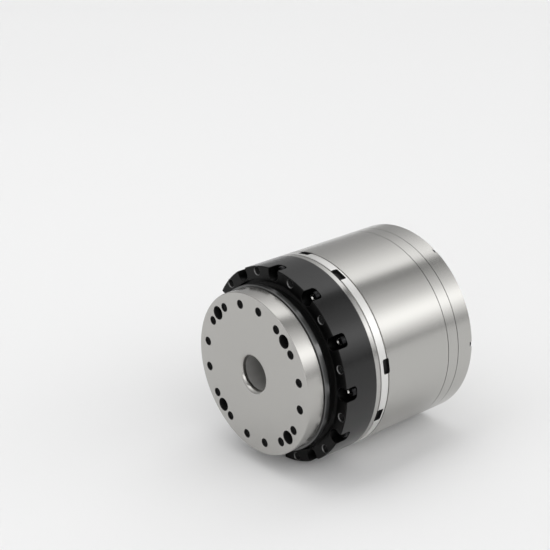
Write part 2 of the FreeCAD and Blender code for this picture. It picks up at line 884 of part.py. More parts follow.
def screw(body, head, shank, circle, angle=NO_ANGLE):
    """One cap screw: its head and its shank are each a (place, length) pair."""
    return [
        round_feature(body, "Pad", head[0], head[1], s.screw_head_radius, circle, angle),
        round_feature(body, "Pad", shank[0], shank[1], s.screw_radius, circle, angle),
    ]


def hexagon_at(sketch, flats, circle, angle):
    """Draw the hexagon of a screw's socket on a circle about the axis."""
    corner = flats / math.sqrt(3.0)
    corners = []
    for step in range(6):
        lean = math.radians(60.0 * step)
        across = circle * sine(angle) + corner * math.cos(lean)
        up = circle * cosine(angle) + corner * math.sin(lean)
        corners.append((across, up))
    draw_outline(sketch, corners)


def tie_screws():
    """Long screws from behind, through the inner ring and the gear ring into the flange."""
    body = new_body("tie_screws")
    head_front = inner_ring_rear - tie_pocket_depth
    head = (head_front, s.screw_head_height)
    shank = (head_front - s.tie_screw_length, s.tie_screw_length)
    features = []
    for angle in tie_group():
        features.extend(screw(body, head, shank, tie_circle_radius, angle))
    around(body, features, s.dowel_count)


def mounting_ring():
    """The black ring: pockets for its own screws and tapped holes for the arm's."""
    outer = body_radius
    body = turned(
        "mounting_ring",
        [
            (ZERO, recess_radius),
            (ZERO, outer - s.edge_break),
            (s.edge_break, outer),
            (s.ring_length, outer),
            (s.ring_length, outer_ring_radius),
            (bearing_front, outer_ring_radius),
            (bearing_front, seal_radius),
            (s.recess_depth, seal_radius),
            (s.recess_depth, recess_radius),
        ],
    )
    half_step = Size(f"(180 / {s.housing_hole_count.text})", 180.0 / s.housing_hole_count.number)
    drill(
        body,
        ZERO,
        s.housing_hole_depth,
        s.housing_hole_radius,
        housing_circle_radius,
        s.housing_hole_count,
        half_step,
    )
    drill(
        body,
        ZERO,
        s.ring_length,
        screw_hole_radius,
        pocket_circle_radius,
        s.housing_hole_count,
    )
    drill(
        body,
        ZERO,
        screw_seat_depth,
        screw_seat_radius,
        pocket_circle_radius,
        s.housing_hole_count,
    )
    body.Label = "mounting_ring_blank"
    cutter = screw_pocket_cutter()
    count = int(s.housing_hole_count.number)
    cutters = shape_node("screw_pocket_cutters", copies_around(cutter.Shape, count))
    return cut_part("mounting_ring", body, cutters)


def screw_pocket_cutter():
    """The block that opens one screw pocket to the outside, with the two rear corners rounded."""
    reach = body_radius + s.edge_break - pocket_circle_radius
    cutter = new_body("screw_pocket_cutter")
    sketch = sketch_on(cutter, "XY_Plane", pocket_circle_radius)
    draw_outline(
        sketch,
        [
            (-pocket_radius, -s.edge_break),
            (pocket_radius, -s.edge_break),
            (pocket_radius, s.pocket_depth),
            (-pocket_radius, s.pocket_depth),
        ],
    )
    block = cutter.newObject("PartDesign::Pad", "screw_pocket_block")
    block.Profile = sketch
    block.setExpression("Length", reach.text)
    doc.recompute()
    corners = [
        f"Edge{index}"
        for index, edge in enumerate(block.Shape.Edges, start=1)
        if all(abs(vertex.Point.y - s.pocket_depth.number) < 0.001 for vertex in edge.Vertexes)
        and abs(edge.tangentAt(edge.FirstParameter).z) > 0.5
    ]
    rounding = cutter.newObject("PartDesign::Fillet", "screw_pocket_round")
    rounding.Base = (block, corners)
    rounding.setExpression("Radius", s.pocket_round.text)
    cutter.Tip = rounding
    doc.recompute()
    return cutter


def ring_screws():
    """The cap screws that clamp ring, flexible gear and adapter to the motor housing."""
    body = new_body("ring_screws")
    head_front = screw_seat_depth - s.screw_head_height
    head = (head_front, s.screw_head_height)
    features = screw(body, head, (screw_seat_depth, s.ring_screw_length), pocket_circle_radius)
    sketch = cross_sketch(body, head_front)
    hexagon_at(sketch, s.screw_socket_flats, pocket_circle_radius, NO_ANGLE)
    features.append(extrude(body, "Pocket", sketch, s.screw_socket_depth))
    around(body, features, s.housing_hole_count)


def output_seal():
    """The lip seal between the mounting ring and the gear ring."""
    return ring(
        "output_seal",
        s.recess_depth,
        s.recess_depth + s.seal_width,
        spline_radius + s.seal_running_gap,
        seal_radius,
    )


def motor_adapter():
    """The plate behind the gear: second bright band, shaft bearing seat, input seal seat."""
    plate_front = brim_rear + s.flex_web_gap
    plate_back = plate_front + s.adapter_plate_thickness
    spigot_rear = adapter_rear + s.adapter_spigot_length
    spigot_inner = adapter_spigot_radius - s.spigot_wall
    seal_outer = input_seal_radius + s.bearing_seat_wall
    body = turned(
        "motor_adapter",
        [
            (brim_rear, flex_web_radius),
            (brim_rear, body_radius - s.adapter_groove),
            (brim_rear + s.adapter_groove, body_radius),
            (adapter_rear - s.adapter_groove, body_radius),
            (adapter_rear, body_radius - s.adapter_groove),
            (adapter_rear, adapter_spigot_radius),
            (spigot_rear, adapter_spigot_radius),
            (spigot_rear, spigot_inner),
            (plate_back, spigot_inner),
            (plate_back, seat_outer_radius),
            (front_bearing_rear, seat_outer_radius),
            (front_bearing_rear, rotor_bearing_radius),
            (front_bearing_front, rotor_bearing_radius),
            (front_bearing_front, rotor_bearing_radius - s.bearing_ring_wall),
            (input_seal_front + s.input_seal_width, rotor_bearing_radius - s.bearing_ring_wall),
            (input_seal_front + s.input_seal_width, input_seal_radius),
            (input_seal_front, input_seal_radius),
            (input_seal_front, seal_outer),
            (plate_front, seal_outer),
            (plate_front, flex_web_radius),
        ],
    )
    drill(
        body,
        brim_rear,
        s.adapter_band_width + s.adapter_spigot_length,
        screw_hole_radius,
        pocket_circle_radius,
        s.housing_hole_count,
    )
    notches(body, adapter_rear - s.notch_width, s.notch_width)
    ring(
        "input_seal",
        input_seal_front,
        input_seal_front + s.input_seal_width,
        shaft_radius + s.seal_running_gap,
        input_seal_radius,
    )


def notches(body, place, width):
    """Every short slot, or the part of it that lies in this body."""
    pair = [
        notch(body, s.notch_centre_angle + s.notch_half_spread * side, place, width)
        for side in (-1.0, 1.0)
    ]
    around(body, pair, s.notch_pair_count)


def notch(body, angle, place, width):
    """One short slot, or the part of it that lies in this body, from a place towards +Y."""
    sketch = cross_sketch(body, place)
    floor = body_radius - s.notch_depth
    top = body_radius + s.edge_break
    half = s.notch_length / 2.0
    corners = []
    for across, up in ((-half, floor), (half, floor), (half, top), (-half, top)):
        corners.append(
            (
                across * cosine(angle) + up * sine(angle),
                up * cosine(angle) - across * sine(angle),
            )
        )
    draw_outline(sketch, corners)
    return extrude(body, "Pocket", sketch, width)


def rotor_bearing(label, front):
    """A deep-groove bearing in three parts: outer ring with its shields, inner ring, balls."""
    rear = front + s.rotor_bearing_width
    shield = s.bearing_shield_thickness
    shield_inner = bearing_inner_land + s.screw_clearance
    turned(
        f"{label}_outer",
        [
            (front, rotor_bearing_radius),
            (rear, rotor_bearing_radius),
            (rear, shield_inner),
            (rear - shield, shield_inner),
            (rear - shield, bearing_outer_land),
            (front + shield, bearing_outer_land),
            (front + shield, shield_inner),
            (front, shield_inner),
        ],
    )
    ring(f"{label}_inner", front, rear, shaft_radius, bearing_inner_land)
    balls(
        f"{label}_balls",
        bearing_ball_radius.number,
        bearing_ball_circle.number,
        (front + rear).number / 2.0,
        int(s.bearing_ball_count.number),
    )


def rotor_shaft():
    """The hollow shaft that the rotor, the brake hub and the wave generator sit on."""
    turned(
        "rotor_shaft",
        [
            (shaft_front, shaft_bore_radius),
            (shaft_front, shaft_radius),
            (rear_bearing_rear, shaft_radius),
            (rear_bearing_rear, shaft_tail_radius),
            (input_disc_rear, shaft_tail_radius),
            (input_disc_rear, shaft_bore_radius),
        ],
    )


def motor_housing():
    """The long satin tube that holds the stator and the brake."""
    body = turned(
        "motor_housing",
        [
            (adapter_rear, housing_bore_radius),
            (adapter_rear, body_radius - s.seam_groove),
            (adapter_rear + s.seam_groove, body_radius),
            (housing_rear - s.seam_groove, body_radius),
            (housing_rear, body_radius - s.seam_groove),
            (housing_rear, housing_bore_radius),
            (stator_rear + s.stator_stop_length, housing_bore_radius),
            (stator_rear + s.stator_stop_length, stator_stop_radius),
            (stator_rear, stator_stop_radius),
            (stator_rear, housing_bore_radius),
        ],
    )
    ring_depth = screw_seat_depth + s.ring_screw_length - adapter_rear
    drill(
        body,
        adapter_rear,
        ring_depth,
        s.screw_radius,
        pocket_circle_radius,
        s.housing_hole_count,
    )
    cap_depth = s.cap_screw_length - (cap_rear - cap_pocket_depth - housing_rear)
    drill(
        body,
        housing_rear - cap_depth,
        cap_depth,
        s.screw_radius,
        cap_screw_circle,
        s.cap_screw_count,
        s.cap_screw_angle,
    )
    notches(body, adapter_rear, s.notch_overrun)


def stator():
    """The slotted iron core and the coil on each of its teeth."""
    front = stator_front.number
    length = s.stator_length.number
    outer = housing_bore_radius.number
    bore = stator_bore_radius.number
    yoke_inner = outer - s.stator_yoke.number
    half_tooth = s.stator_tooth_width.number / 2.0
    half_shoe = s.stator_shoe_width.number / 2.0
    shoe = bore + s.stator_shoe_height.number
    count = int(s.stator_tooth_count.number)
    yoke = cylinder(outer, front, front + length).cut(cylinder(yoke_inner, front, front + length))
    tooth_corner = FreeCAD.Vector(-half_tooth, front, bore)
    tooth = Part.makeBox(2.0 * half_tooth, length, outer - bore, tooth_corner)
    foot_start = bore - s.stator_foot_overlap.number
    foot_corner = FreeCAD.Vector(-half_shoe, front, foot_start)
    foot = Part.makeBox(2.0 * half_shoe, length, shoe - foot_start, foot_corner)
    teeth = copies_around(tooth.fuse(foot), count)
    core = yoke.fuse(teeth.Solids)
    core = core.cut(cylinder(bore, front, front + length))
    core = core.common(cylinder(outer, front, front + length))
    shape_node("stator_core", core.removeSplitter())
    thick = s.winding_thickness.number
    over = s.winding_overhang.number
    coil_bottom = shoe + s.winding_shoe_gap.number
    coil_top = yoke_inner - s.winding_yoke_gap.number
    outer_block = Part.makeBox(
        2.0 * (half_tooth + thick),
        length + 2.0 * over,
        coil_top - coil_bottom,
        FreeCAD.Vector(-half_tooth - thick, front - over, coil_bottom),
    )
    upright = [
        edge for edge in outer_block.Edges if abs(edge.tangentAt(edge.FirstParameter).z) > 0.9
    ]
    outer_block = outer_block.makeChamfer(s.winding_corner.number, upright)
    gap = s.winding_liner.number
    inner_block = Part.makeBox(
        2.0 * (half_tooth + gap),
        length + 2.0 * gap,
        coil_top - coil_bottom,
        FreeCAD.Vector(-half_tooth - gap, front - gap, coil_bottom),
    )
    shape_node("stator_coils", copies_around(outer_block.cut(inner_block), count))


def rotor():
    """The rotor hub with its rim of magnets."""
    rim_front = stator_front
    web_front = (stator_front + stator_rear) / 2.0 - s.rotor_web_thickness / 2.0
    web_rear = web_front + s.rotor_web_thickness
    hub_outer = shaft_radius + s.rotor_rim_thickness
    turned(
        "rotor_hub",
        [
            (rim_front, rotor_rim_inner),
            (rim_front, rotor_rim_radius),
            (stator_rear, rotor_rim_radius),
            (stator_rear, rotor_rim_inner),
            (web_rear, rotor_rim_inner),
            (web_rear, hub_outer),
            (stator_rear, hub_outer),
            (stator_rear, shaft_radius),
            (rim_front, shaft_radius),
            (rim_front, hub_outer),
            (web_front, hub_outer),
            (web_front, rotor_rim_inner),
        ],
    )
    count = int(s.magnet_count.number)
    span = 360.0 / count * s.magnet_fill.number
    outer = Part.makeCylinder(
        magnet_radius.number, s.stator_length.number, Y_AXIS * rim_front.number, Y_AXIS, span
    )
    inner = cylinder(rotor_rim_radius.number, rim_front.number, stator_rear.number)
    shape_node("magnets", copies_around(outer.cut(inner), count))


def brake():
    """The power-off brake: plate, disc, sliding armature, coil and coil housing."""
    outer = brake_radius
    plate = ring("brake_plate", brake_front, plate_rear, brake_bore_radius, outer)
    pillars = s.brake_pillar_count
    drill(
        plate,
        brake_front,
        s.brake_plate_thickness,
        s.brake_pillar_radius,
        brake_pillar_circle,
        pillars,
    )
    pillar_body = new_body("brake_pillars")
    pillar = round_feature(
        pillar_body,
        "Pad",
        brake_front,
        coil_front - brake_front,
        s.brake_pillar_radius,
        brake_pillar_circle,
    )
    around(pillar_body, [pillar], pillars)
    friction_disc()
    hub = new_body("brake_hub")
    sketch = cross_sketch(hub, brake_front)
    hexagon_at(sketch, brake_hub_flats, ZERO, NO_ANGLE)
    draw_circle(sketch, shaft_radius, ZERO, ZERO)
    hub.Tip = extrude(hub, "Pad", sketch, armature_rear - brake_front)
    armature_bore = brake_bore_radius + s.armature_bore_gap
    armature = ring("brake_armature", armature_front, armature_rear, armature_bore, outer)
    drill(
        armature,
        armature_front,
        s.armature_thickness,
        s.brake_pillar_radius + s.brake_pillar_gap,
        brake_pillar_circle,
        pillars,
    )
    coil_groove_rear = coil_front + s.brake_coil_length
    turned(
        "brake_coil_housing",
        [
            (coil_front, seat_outer_radius),
            (coil_front, brake_coil_inner),
            (coil_groove_rear, brake_coil_inner),
            (coil_groove_rear, brake_coil_outer),
            (coil_front, brake_coil_outer),
            (coil_front, outer),
            (housing_rear, outer),
            (housing_rear, seat_outer_radius),
        ],
    )
    ring(
        "brake_coil",
        coil_front + s.brake_hub_gap,
        coil_groove_rear,
        brake_coil_inner,
        brake_coil_outer,
    )


def friction_disc():
    """The friction disc, whose hexagonal centre slides on the hub."""
    disc = new_body("brake_disc")
    sketch = cross_sketch(disc, disc_front)
    hexagon_at(sketch, brake_hub_flats + s.brake_hub_gap * 2.0, ZERO, NO_ANGLE)
    draw_circle(sketch, brake_disc_radius, ZERO, ZERO)
    disc.Tip = extrude(disc, "Pad", sketch, s.brake_disc_thickness)


def rear_shield():
    """The plate that closes the motor and holds the rear bearing."""
    spigot_front = housing_rear - s.shield_spigot_length
    body = turned(
        "rear_shield",
        [
            (rear_bearing_front, rotor_bearing_radius),
            (rear_bearing_front, seat_outer_radius),
            (housing_rear, seat_outer_radius),
            (housing_rear, adapter_spigot_radius - s.spigot_wall),
            (spigot_front, adapter_spigot_radius - s.spigot_wall),
            (spigot_front, adapter_spigot_radius),
            (housing_rear, adapter_spigot_radius),
            (housing_rear, body_radius - s.seam_groove),
            (housing_rear + s.seam_groove, body_radius),
            (shield_rear - s.seam_groove, body_radius),
            (shield_rear, body_radius - s.seam_groove),
            (shield_rear, wall_inner_radius),
            (shield_plate_rear, wall_inner_radius),
            (shield_plate_rear, seat_outer_radius),
            (lip_rear, seat_outer_radius),
            (lip_rear, rear_lip_radius),
            (rear_bearing_rear, rear_lip_radius),
            (rear_bearing_rear, rotor_bearing_radius),
        ],
    )
    drill(
        body,
        housing_rear,
        s.shield_band_width,
        screw_hole_radius,
        cap_screw_circle,
        s.cap_screw_count,
        s.cap_screw_angle,
    )


def boards():
    """The driver board, the encoder board, the pillars between them and the two discs."""
    ring(
        "driver_board",
        driver_board_front,
        driver_board_rear,
        driver_board_bore,
        board_radius,
    )
    ring(
        "encoder_board",
        encoder_board_front,
        encoder_board_rear,
        encoder_board_bore,
        board_radius,
    )
    pillar_body = new_body("board_pillars")
    features = []
    for front, rear in (
        (shield_plate_rear, driver_board_front),
        (driver_board_rear, encoder_board_front),
    ):
        features.append(
            round_feature(
                pillar_body,
                "Pad",
                front,
                rear - front,
                s.board_pillar_radius,
                board_pillar_circle,
            )
        )
    around(pillar_body, features, s.board_pillar_count)
    ring(
        "input_encoder_disc",
        input_disc_front,
        input_disc_rear,
        shaft_tail_radius,
        s.encoder_disc_radius,
    )
    ring(
        "output_encoder_disc",
        output_disc_front,
        output_disc_rear,
        tube_radius,
        s.encoder_disc_radius,
    )


def rear_cap():
    """The cap over the boards, with a bore for the tube and windows for the sockets."""
    body = turned(
        "rear_cap",
        [
            (shield_rear, wall_inner_radius),
            (shield_rear, body_radius - s.seam_groove),
            (shield_rear + s.seam_groove, body_radius),
            (cap_rear - s.cap_edge, body_radius),
            (cap_rear, body_radius - s.cap_edge),
            (cap_rear, cap_hole_radius),
            (cap_inside, cap_hole_radius),
            (cap_inside, wall_inner_radius),
        ],
    )
    drill(
        body,
        shield_rear,
        cap_rear - shield_rear,
        screw_hole_radius,
        cap_screw_circle,
        s.cap_screw_count,
        s.cap_screw_angle,
    )
    drill(
        body,
        cap_rear - cap_pocket_depth,
        cap_pocket_depth,
        s.cap_pocket_radius,
        cap_screw_circle,
        s.cap_screw_count,
        s.cap_screw_angle,
    )
    for angle, length, width in socket_places():
        sketch = cross_sketch(body, cap_inside)
        gap = s.socket_window_gap * 2.0
        draw_turned_box(sketch, angle, length + gap, width + gap)
        body.Tip = extrude(body, "Pocket", sketch, s.cap_floor)


def socket_places():
    """Angle, length and width of each socket on the rear face."""
    bottom = ZERO + 180.0
    return [
        (bottom, s.power_socket_length, s.power_socket_width),
        (bottom - s.bus_socket_angle, s.bus_socket_length, s.bus_socket_width),
        (bottom + s.bus_socket_angle, s.bus_socket_length, s.bus_socket_width),
    ]


def draw_turned_box(sketch, angle, length, width):
    """Draw a rectangle that stands square to the radius through its middle."""
    half = length / 2.0
    low = socket_circle_radius - width / 2.0
    high = socket_circle_radius + width / 2.0
    corners = []
    for across, up in ((-half, low), (half, low), (half, high), (-half, high)):
        corners.append(
            (
                across * cosine(angle) + up * sine(angle),
                up * cosine(angle) - across * sine(angle),
            )
        )
    draw_outline(sketch, corners)


def sockets():
    """The power socket and the two bus sockets, which stand on the encoder board."""
    socket_rear = cap_rear - s.socket_inset
    openings = [
        (s.power_opening_length, s.power_opening_width),
        (s.bus_opening_length, s.bus_opening_width),
        (s.bus_opening_length, s.bus_opening_width),
    ]
    groups = (("power_socket", (0,)), ("bus_sockets", (1, 2)))
    places = socket_places()
    for label, members in groups:
        body = new_body(label)
        for member in members:
            angle, length, width = places[member]
            sketch = cross_sketch(body, encoder_board_rear)
            draw_turned_box(sketch, angle, length, width)
            extrude(body, "Pad", sketch, socket_rear - encoder_board_rear)
            mouth = cross_sketch(body, socket_rear - s.socket_opening_depth)
            draw_turned_box(mouth, angle, openings[member][0], openings[member][1])
            body.Tip = extrude(body, "Pocket", mouth, s.socket_opening_depth)


def cap_screws():
    """Low-head screws that hold cap and shield to the motor housing."""
    body = new_body("cap_screws")
    head_front = cap_rear - cap_pocket_depth
    head = (head_front, s.cap_screw_head_height)
    shank = (head_front - s.cap_screw_length, s.cap_screw_length)
    around(body, screw(body, head, shank, cap_screw_circle, s.cap_screw_angle), s.cap_screw_count)


def output_tube():
    """The thin tube that carries cables through the joint and turns with the flange."""
    ring("output_tube", mouth_end, tube_rear, s.tube_bore_radius, tube_radius)
    ring(
        "tube_bushing",
        cap_inside - s.bushing_reach,
        tube_rear,
        bushing_bore,
        cap_hole_radius,
    )


PARTS = [
    "output_flange",
    "ring_gear",
    "tie_screws",
    "output_seal",
    "bearing_inner_ring",
    "bearing_outer_ring",
    "bearing_clamp_ring",
    "crossed_rollers",
    "roller_cage",
    "mounting_ring",
    "ring_screws",
    "flexible_gear",
    "wave_plug",
    "wave_inner_race",
    "wave_balls",
    "wave_outer_race",
    "input_seal",
    "motor_adapter",
    "front_bearing_outer",
    "front_bearing_inner",
    "front_bearing_balls",
    "rotor_shaft",
    "rotor_hub",
    "magnets",
    "stator_core",
    "stator_coils",
    "motor_housing",
    "brake_plate",
    "brake_pillars",
    "brake_disc",
    "brake_hub",
    "brake_armature",
    "brake_coil_housing",
    "brake_coil",
    "rear_bearing_outer",
    "rear_bearing_inner",
    "rear_bearing_balls",
    "rear_shield",
    "driver_board",
    "encoder_board",
    "board_pillars",
    "input_encoder_disc",
    "output_encoder_disc",
    "output_tube",
    "tube_bushing",
    "rear_cap",
    "cap_screws",
    "power_socket",
    "bus_sockets",
]


def check_and_write():
    """Check every object and each part's shape, then write one STEP file for each part."""
    doc.recompute()
    for item in doc.Objects:
        if "Invalid" in item.State or "Error" in item.State:
            raise RuntimeError(f"{item.Label} did not build: {item.State}")
    shapes = {}
    for label in PARTS:
        shape = doc.getObjectsByLabel(label)[0].Shape
        if shape.isNull() or not shape.isValid() or not shape.Solids:
            raise RuntimeError(f"{label} has no valid solid")
        shapes[label] = shape
    os.makedirs("parts", exist_ok=True)
    for label, shape in shapes.items():
        shape.exportStep(f"parts/{label}.step")
        print(label, len(shape.Solids), round(shape.Volume, 1))


output_flange()
ring_gear()
tie_screws()
output_seal()
output_bearing()
mounting_ring()
ring_screws()
flexible_gear()
wave_generator()
motor_adapter()
rotor_bearing("front_bearing", front_bearing_front)
rotor_shaft()
rotor()
stator()
motor_housing()
brake()
rotor_bearing("rear_bearing", rear_bearing_front)
rear_shield()
boards()
output_tube()
rear_cap()
cap_screws()
sockets()
check_and_write()
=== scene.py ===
"""Look of a hollow-shaft joint actuator: its turned shells, black ring, screws and studio.

Lengths are in metres. The shaft's axis is Y and the output flange faces -Y.
Angles about the axis are measured from +Z towards +X.
"""

import json
import math

import bmesh
import bpy
from bpy.props import FloatProperty, FloatVectorProperty, IntProperty, PointerProperty
from mathutils import Matrix, Vector


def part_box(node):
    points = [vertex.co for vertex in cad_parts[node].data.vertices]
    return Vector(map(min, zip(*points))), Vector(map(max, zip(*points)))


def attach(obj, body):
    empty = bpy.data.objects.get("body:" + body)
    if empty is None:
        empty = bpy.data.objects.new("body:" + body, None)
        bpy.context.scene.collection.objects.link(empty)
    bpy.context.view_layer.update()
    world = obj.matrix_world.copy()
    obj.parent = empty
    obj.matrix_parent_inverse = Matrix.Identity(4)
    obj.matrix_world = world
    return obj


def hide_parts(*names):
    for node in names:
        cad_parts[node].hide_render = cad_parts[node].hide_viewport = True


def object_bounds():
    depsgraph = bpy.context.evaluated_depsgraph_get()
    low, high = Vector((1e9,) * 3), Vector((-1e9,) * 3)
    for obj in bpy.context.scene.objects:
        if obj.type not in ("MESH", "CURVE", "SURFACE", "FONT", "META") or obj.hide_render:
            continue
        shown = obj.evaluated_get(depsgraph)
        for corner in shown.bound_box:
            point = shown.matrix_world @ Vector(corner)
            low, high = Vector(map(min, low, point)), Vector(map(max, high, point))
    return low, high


bl_info = {
    "name": "Joint actuator look",
    "version": (1, 0, 0),
    "blender": (4, 5, 0),
    "location": "View3D > Sidebar > Actuator",
    "description": "Turned shells, mounting ring, screws, threads and finishes of a joint actuator",
    "category": "Object",
}

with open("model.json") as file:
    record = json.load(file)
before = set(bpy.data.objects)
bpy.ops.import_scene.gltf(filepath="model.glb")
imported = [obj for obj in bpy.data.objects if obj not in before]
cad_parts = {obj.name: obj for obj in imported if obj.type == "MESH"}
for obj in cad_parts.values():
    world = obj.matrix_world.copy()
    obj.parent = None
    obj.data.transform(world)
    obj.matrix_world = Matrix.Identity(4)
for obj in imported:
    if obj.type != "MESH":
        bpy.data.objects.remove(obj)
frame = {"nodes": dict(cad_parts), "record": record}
cad_low, cad_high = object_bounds()

MM = 0.001
MOUNTS = {mount["name"]: mount for mount in frame["record"]["mounts"]}
TREES = {}
FINISHES = {}

# The corners of a square, in order round it
SQUARE = ((-1, -1), (1, -1), (1, 1), (-1, 1))

# Small clearances and depths
SCREW_CLEARANCE = 0.1 * MM
WINDOW_GAP = 0.3 * MM
PIN_ROOT = 0.2 * MM
COAT_SKIN = 0.05 * MM
COAT_FADE = 0.1 * MM
WELD = 0.001 * MM
LEVEL_GAP = 0.01 * MM

# Facets, and the angles in degrees past which an edge is shaded sharp
SCREW_SIDES = 48
THREAD_STEPS = 20
POCKET_STEPS = 8
SLOT_STEPS = 6
SHARP = 28
THREAD_SHARP = 50

# Proportions of a pin, of a screw's head and of a thread's ridge
PIN_TIP = 0.45
HEAD_BEVEL = 0.16
KNURL = 0.025
THREAD_ROOT = 1.01
THREAD_FOOT = 0.42
THREAD_END = 0.1

# Studio, with angles in degrees
FLOOR_REACH = 12.0
LAMP_SIZE = 0.8
LAMP_POWER = 1.4
LAMP_PLACE = (-0.35, -0.25, 1.1)
CAMERA_PLACE = (0.42621, -0.34519, 0.25211)
CAMERA_AZIMUTH = 50.911
CAMERA_ELEVATION = 20.937
CAMERA_ROLL = -2.542
CAMERA_LENS = 89.56

# The plain room past the soft boxes' ends: its brightness, and where it starts and is reached, as
# the square of a direction's share along the axis
ROOM_LEVEL = 0.70
ROOM_START = 0.56
ROOM_FULL = 0.80

# Brightness of the studio by angle about the axis
SOFT_BOXES = (
    (-180, 0.60),
    (-112, 0.42),
    (-90, 0.46),
    (-66, 0.48),
    (-44, 0.69),
    (-22, 1.19),
    (-4, 1.78),
    (2, 1.65),
    (6, 0.21),
    (14, 0.33),
    (30, 0.82),
    (42, 1.20),
    (50, 1.80),
    (58, 2.25),
    (64, 2.20),
    (70, 1.65),
    (77, 1.10),
    (82, 0.80),
    (86, 0.36),
    (94, 0.24),
    (180, 0.60),
)


def front(node):
    """Where a CAD node starts along the axis."""
    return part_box(node)[0].y


def rear(node):
    """Where a CAD node ends along the axis."""
    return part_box(node)[1].y


def radius(node):
    """Outer radius of a round CAD node."""
    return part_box(node)[1].z


def bolt_circle(name):
    """Radius of a mount's bolt circle, radius of its holes, and how many there are."""
    sizes = MOUNTS[name]["dims"]
    return sizes["pcd_mm"] / 2 * MM, sizes["hole_r_mm"] * MM, sizes["count"]


def length(name, description, default):
    """A length in metres, given in millimetres."""
    return FloatProperty(
        name=name, description=description, default=default * MM, unit="LENGTH", precision=5
    )


def tint(name, description, default):
    """A linear colour."""
    return FloatVectorProperty(
        name=name, description=description, default=default, subtype="COLOR", size=3, min=0, max=1
    )


class ActuatorShellSizes(bpy.types.PropertyGroup):
    """Edges and inner steps of the turned shells."""

    segments: IntProperty(
        name="Segments", description="Facets round a turned piece", default=288, min=48, max=720
    )
    corner_steps: IntProperty(
        name="Corner steps", description="Facets on a rounded corner", default=5, min=1, max=16
    )
    edge_round: length("Edge round", "Round on the flange's outer edges", 0.45)
    mouth_round: length("Mouth round", "Round on the flange's bore mouth", 1.9)
    mouth_depth: length("Mouth depth", "From the flange's face to the tube's end", 2.7)
    tube_wall: length("Tube wall", "Wall of the cable tube", 0.8)
    seam: length("Seam bevel", "Bevel on an edge beside a seam", 0.08)
    seam_depth: length("Seam depth", "Depth of the groove along a seam", 0.9)
    band_seam: length("Band seam", "Half width of the grooves beside the slotted band", 0.30)
    rear_seam: length("Rear seam", "Half width of the grooves near the rear", 0.16)
    brim_edge: length("Brim bevel", "Bevel on the front edge of the gear's brim", 0.35)
    ring_edge: length("Ring bevel", "Bevel on the black ring's front edge", 0.4)
    cap_edge: length("Cap bevel", "Bevel on the rear cap's outer edge", 0.5)
    recess_gap: length("Recess gap", "Between the collar and the ring's recess", 1.2)
    shell_wall: length("Rear wall", "Wall of the rear shield and cap", 5.4)
    cap_floor: length("Cap floor", "Thickness of the cap's floor", 2.65)
    spigot_wall: length("Spigot wall", "Wall of the spigots that centre the housing", 2.6)
    plate: length("Plate", "Thickness of the adapter and shield plates", 3.4)


class ActuatorGearSizes(bpy.types.PropertyGroup):
    """Teeth of the strain wave gear, and the walls of its two gears."""

    flex_teeth: IntProperty(
        name="Flexible teeth", description="Teeth on the flexible gear", default=100, min=20
    )
    tooth_difference: IntProperty(
        name="Tooth difference", description="Teeth that the ring gear has more", default=2, min=2
    )
    module: length("Module", "Pitch diameter for each tooth", 0.5)
    tooth_above: length("Tooth above", "Height of a tooth above its pitch line", 0.4)
    tooth_below: length("Tooth below", "Depth of a tooth below its pitch line", 0.55)
    tooth_thickness: length("Tooth thickness", "Thickness at the pitch line", 0.72)
    pressure_angle: FloatProperty(
        name="Pressure angle", description="Slope of a tooth's flanks, degrees", default=20.0
    )
    flex_wall: length("Cup wall", "Wall of the flexible cup below its teeth", 0.5)
    web_radius: length("Web radius", "Where the thin web meets the brim", 32.5)
    web_thickness: length("Web thickness", "Thickness of the thin web", 0.6)
    web_gap: length("Web gap", "From the web to the adapter", 0.5)
    ring_body: length("Ring body", "Outer radius of the ring gear's body", 35.0)
    register: length("Register", "Radius of the step that centres the flange", 36.2)
    register_height: length("Register height", "Height of that step", 0.25)
    collar: length("Collar", "Thickness of the ring gear's front collar", 2.7)
    collar_edge: length("Collar bevel", "Bevel on the collar's edges", 0.2)


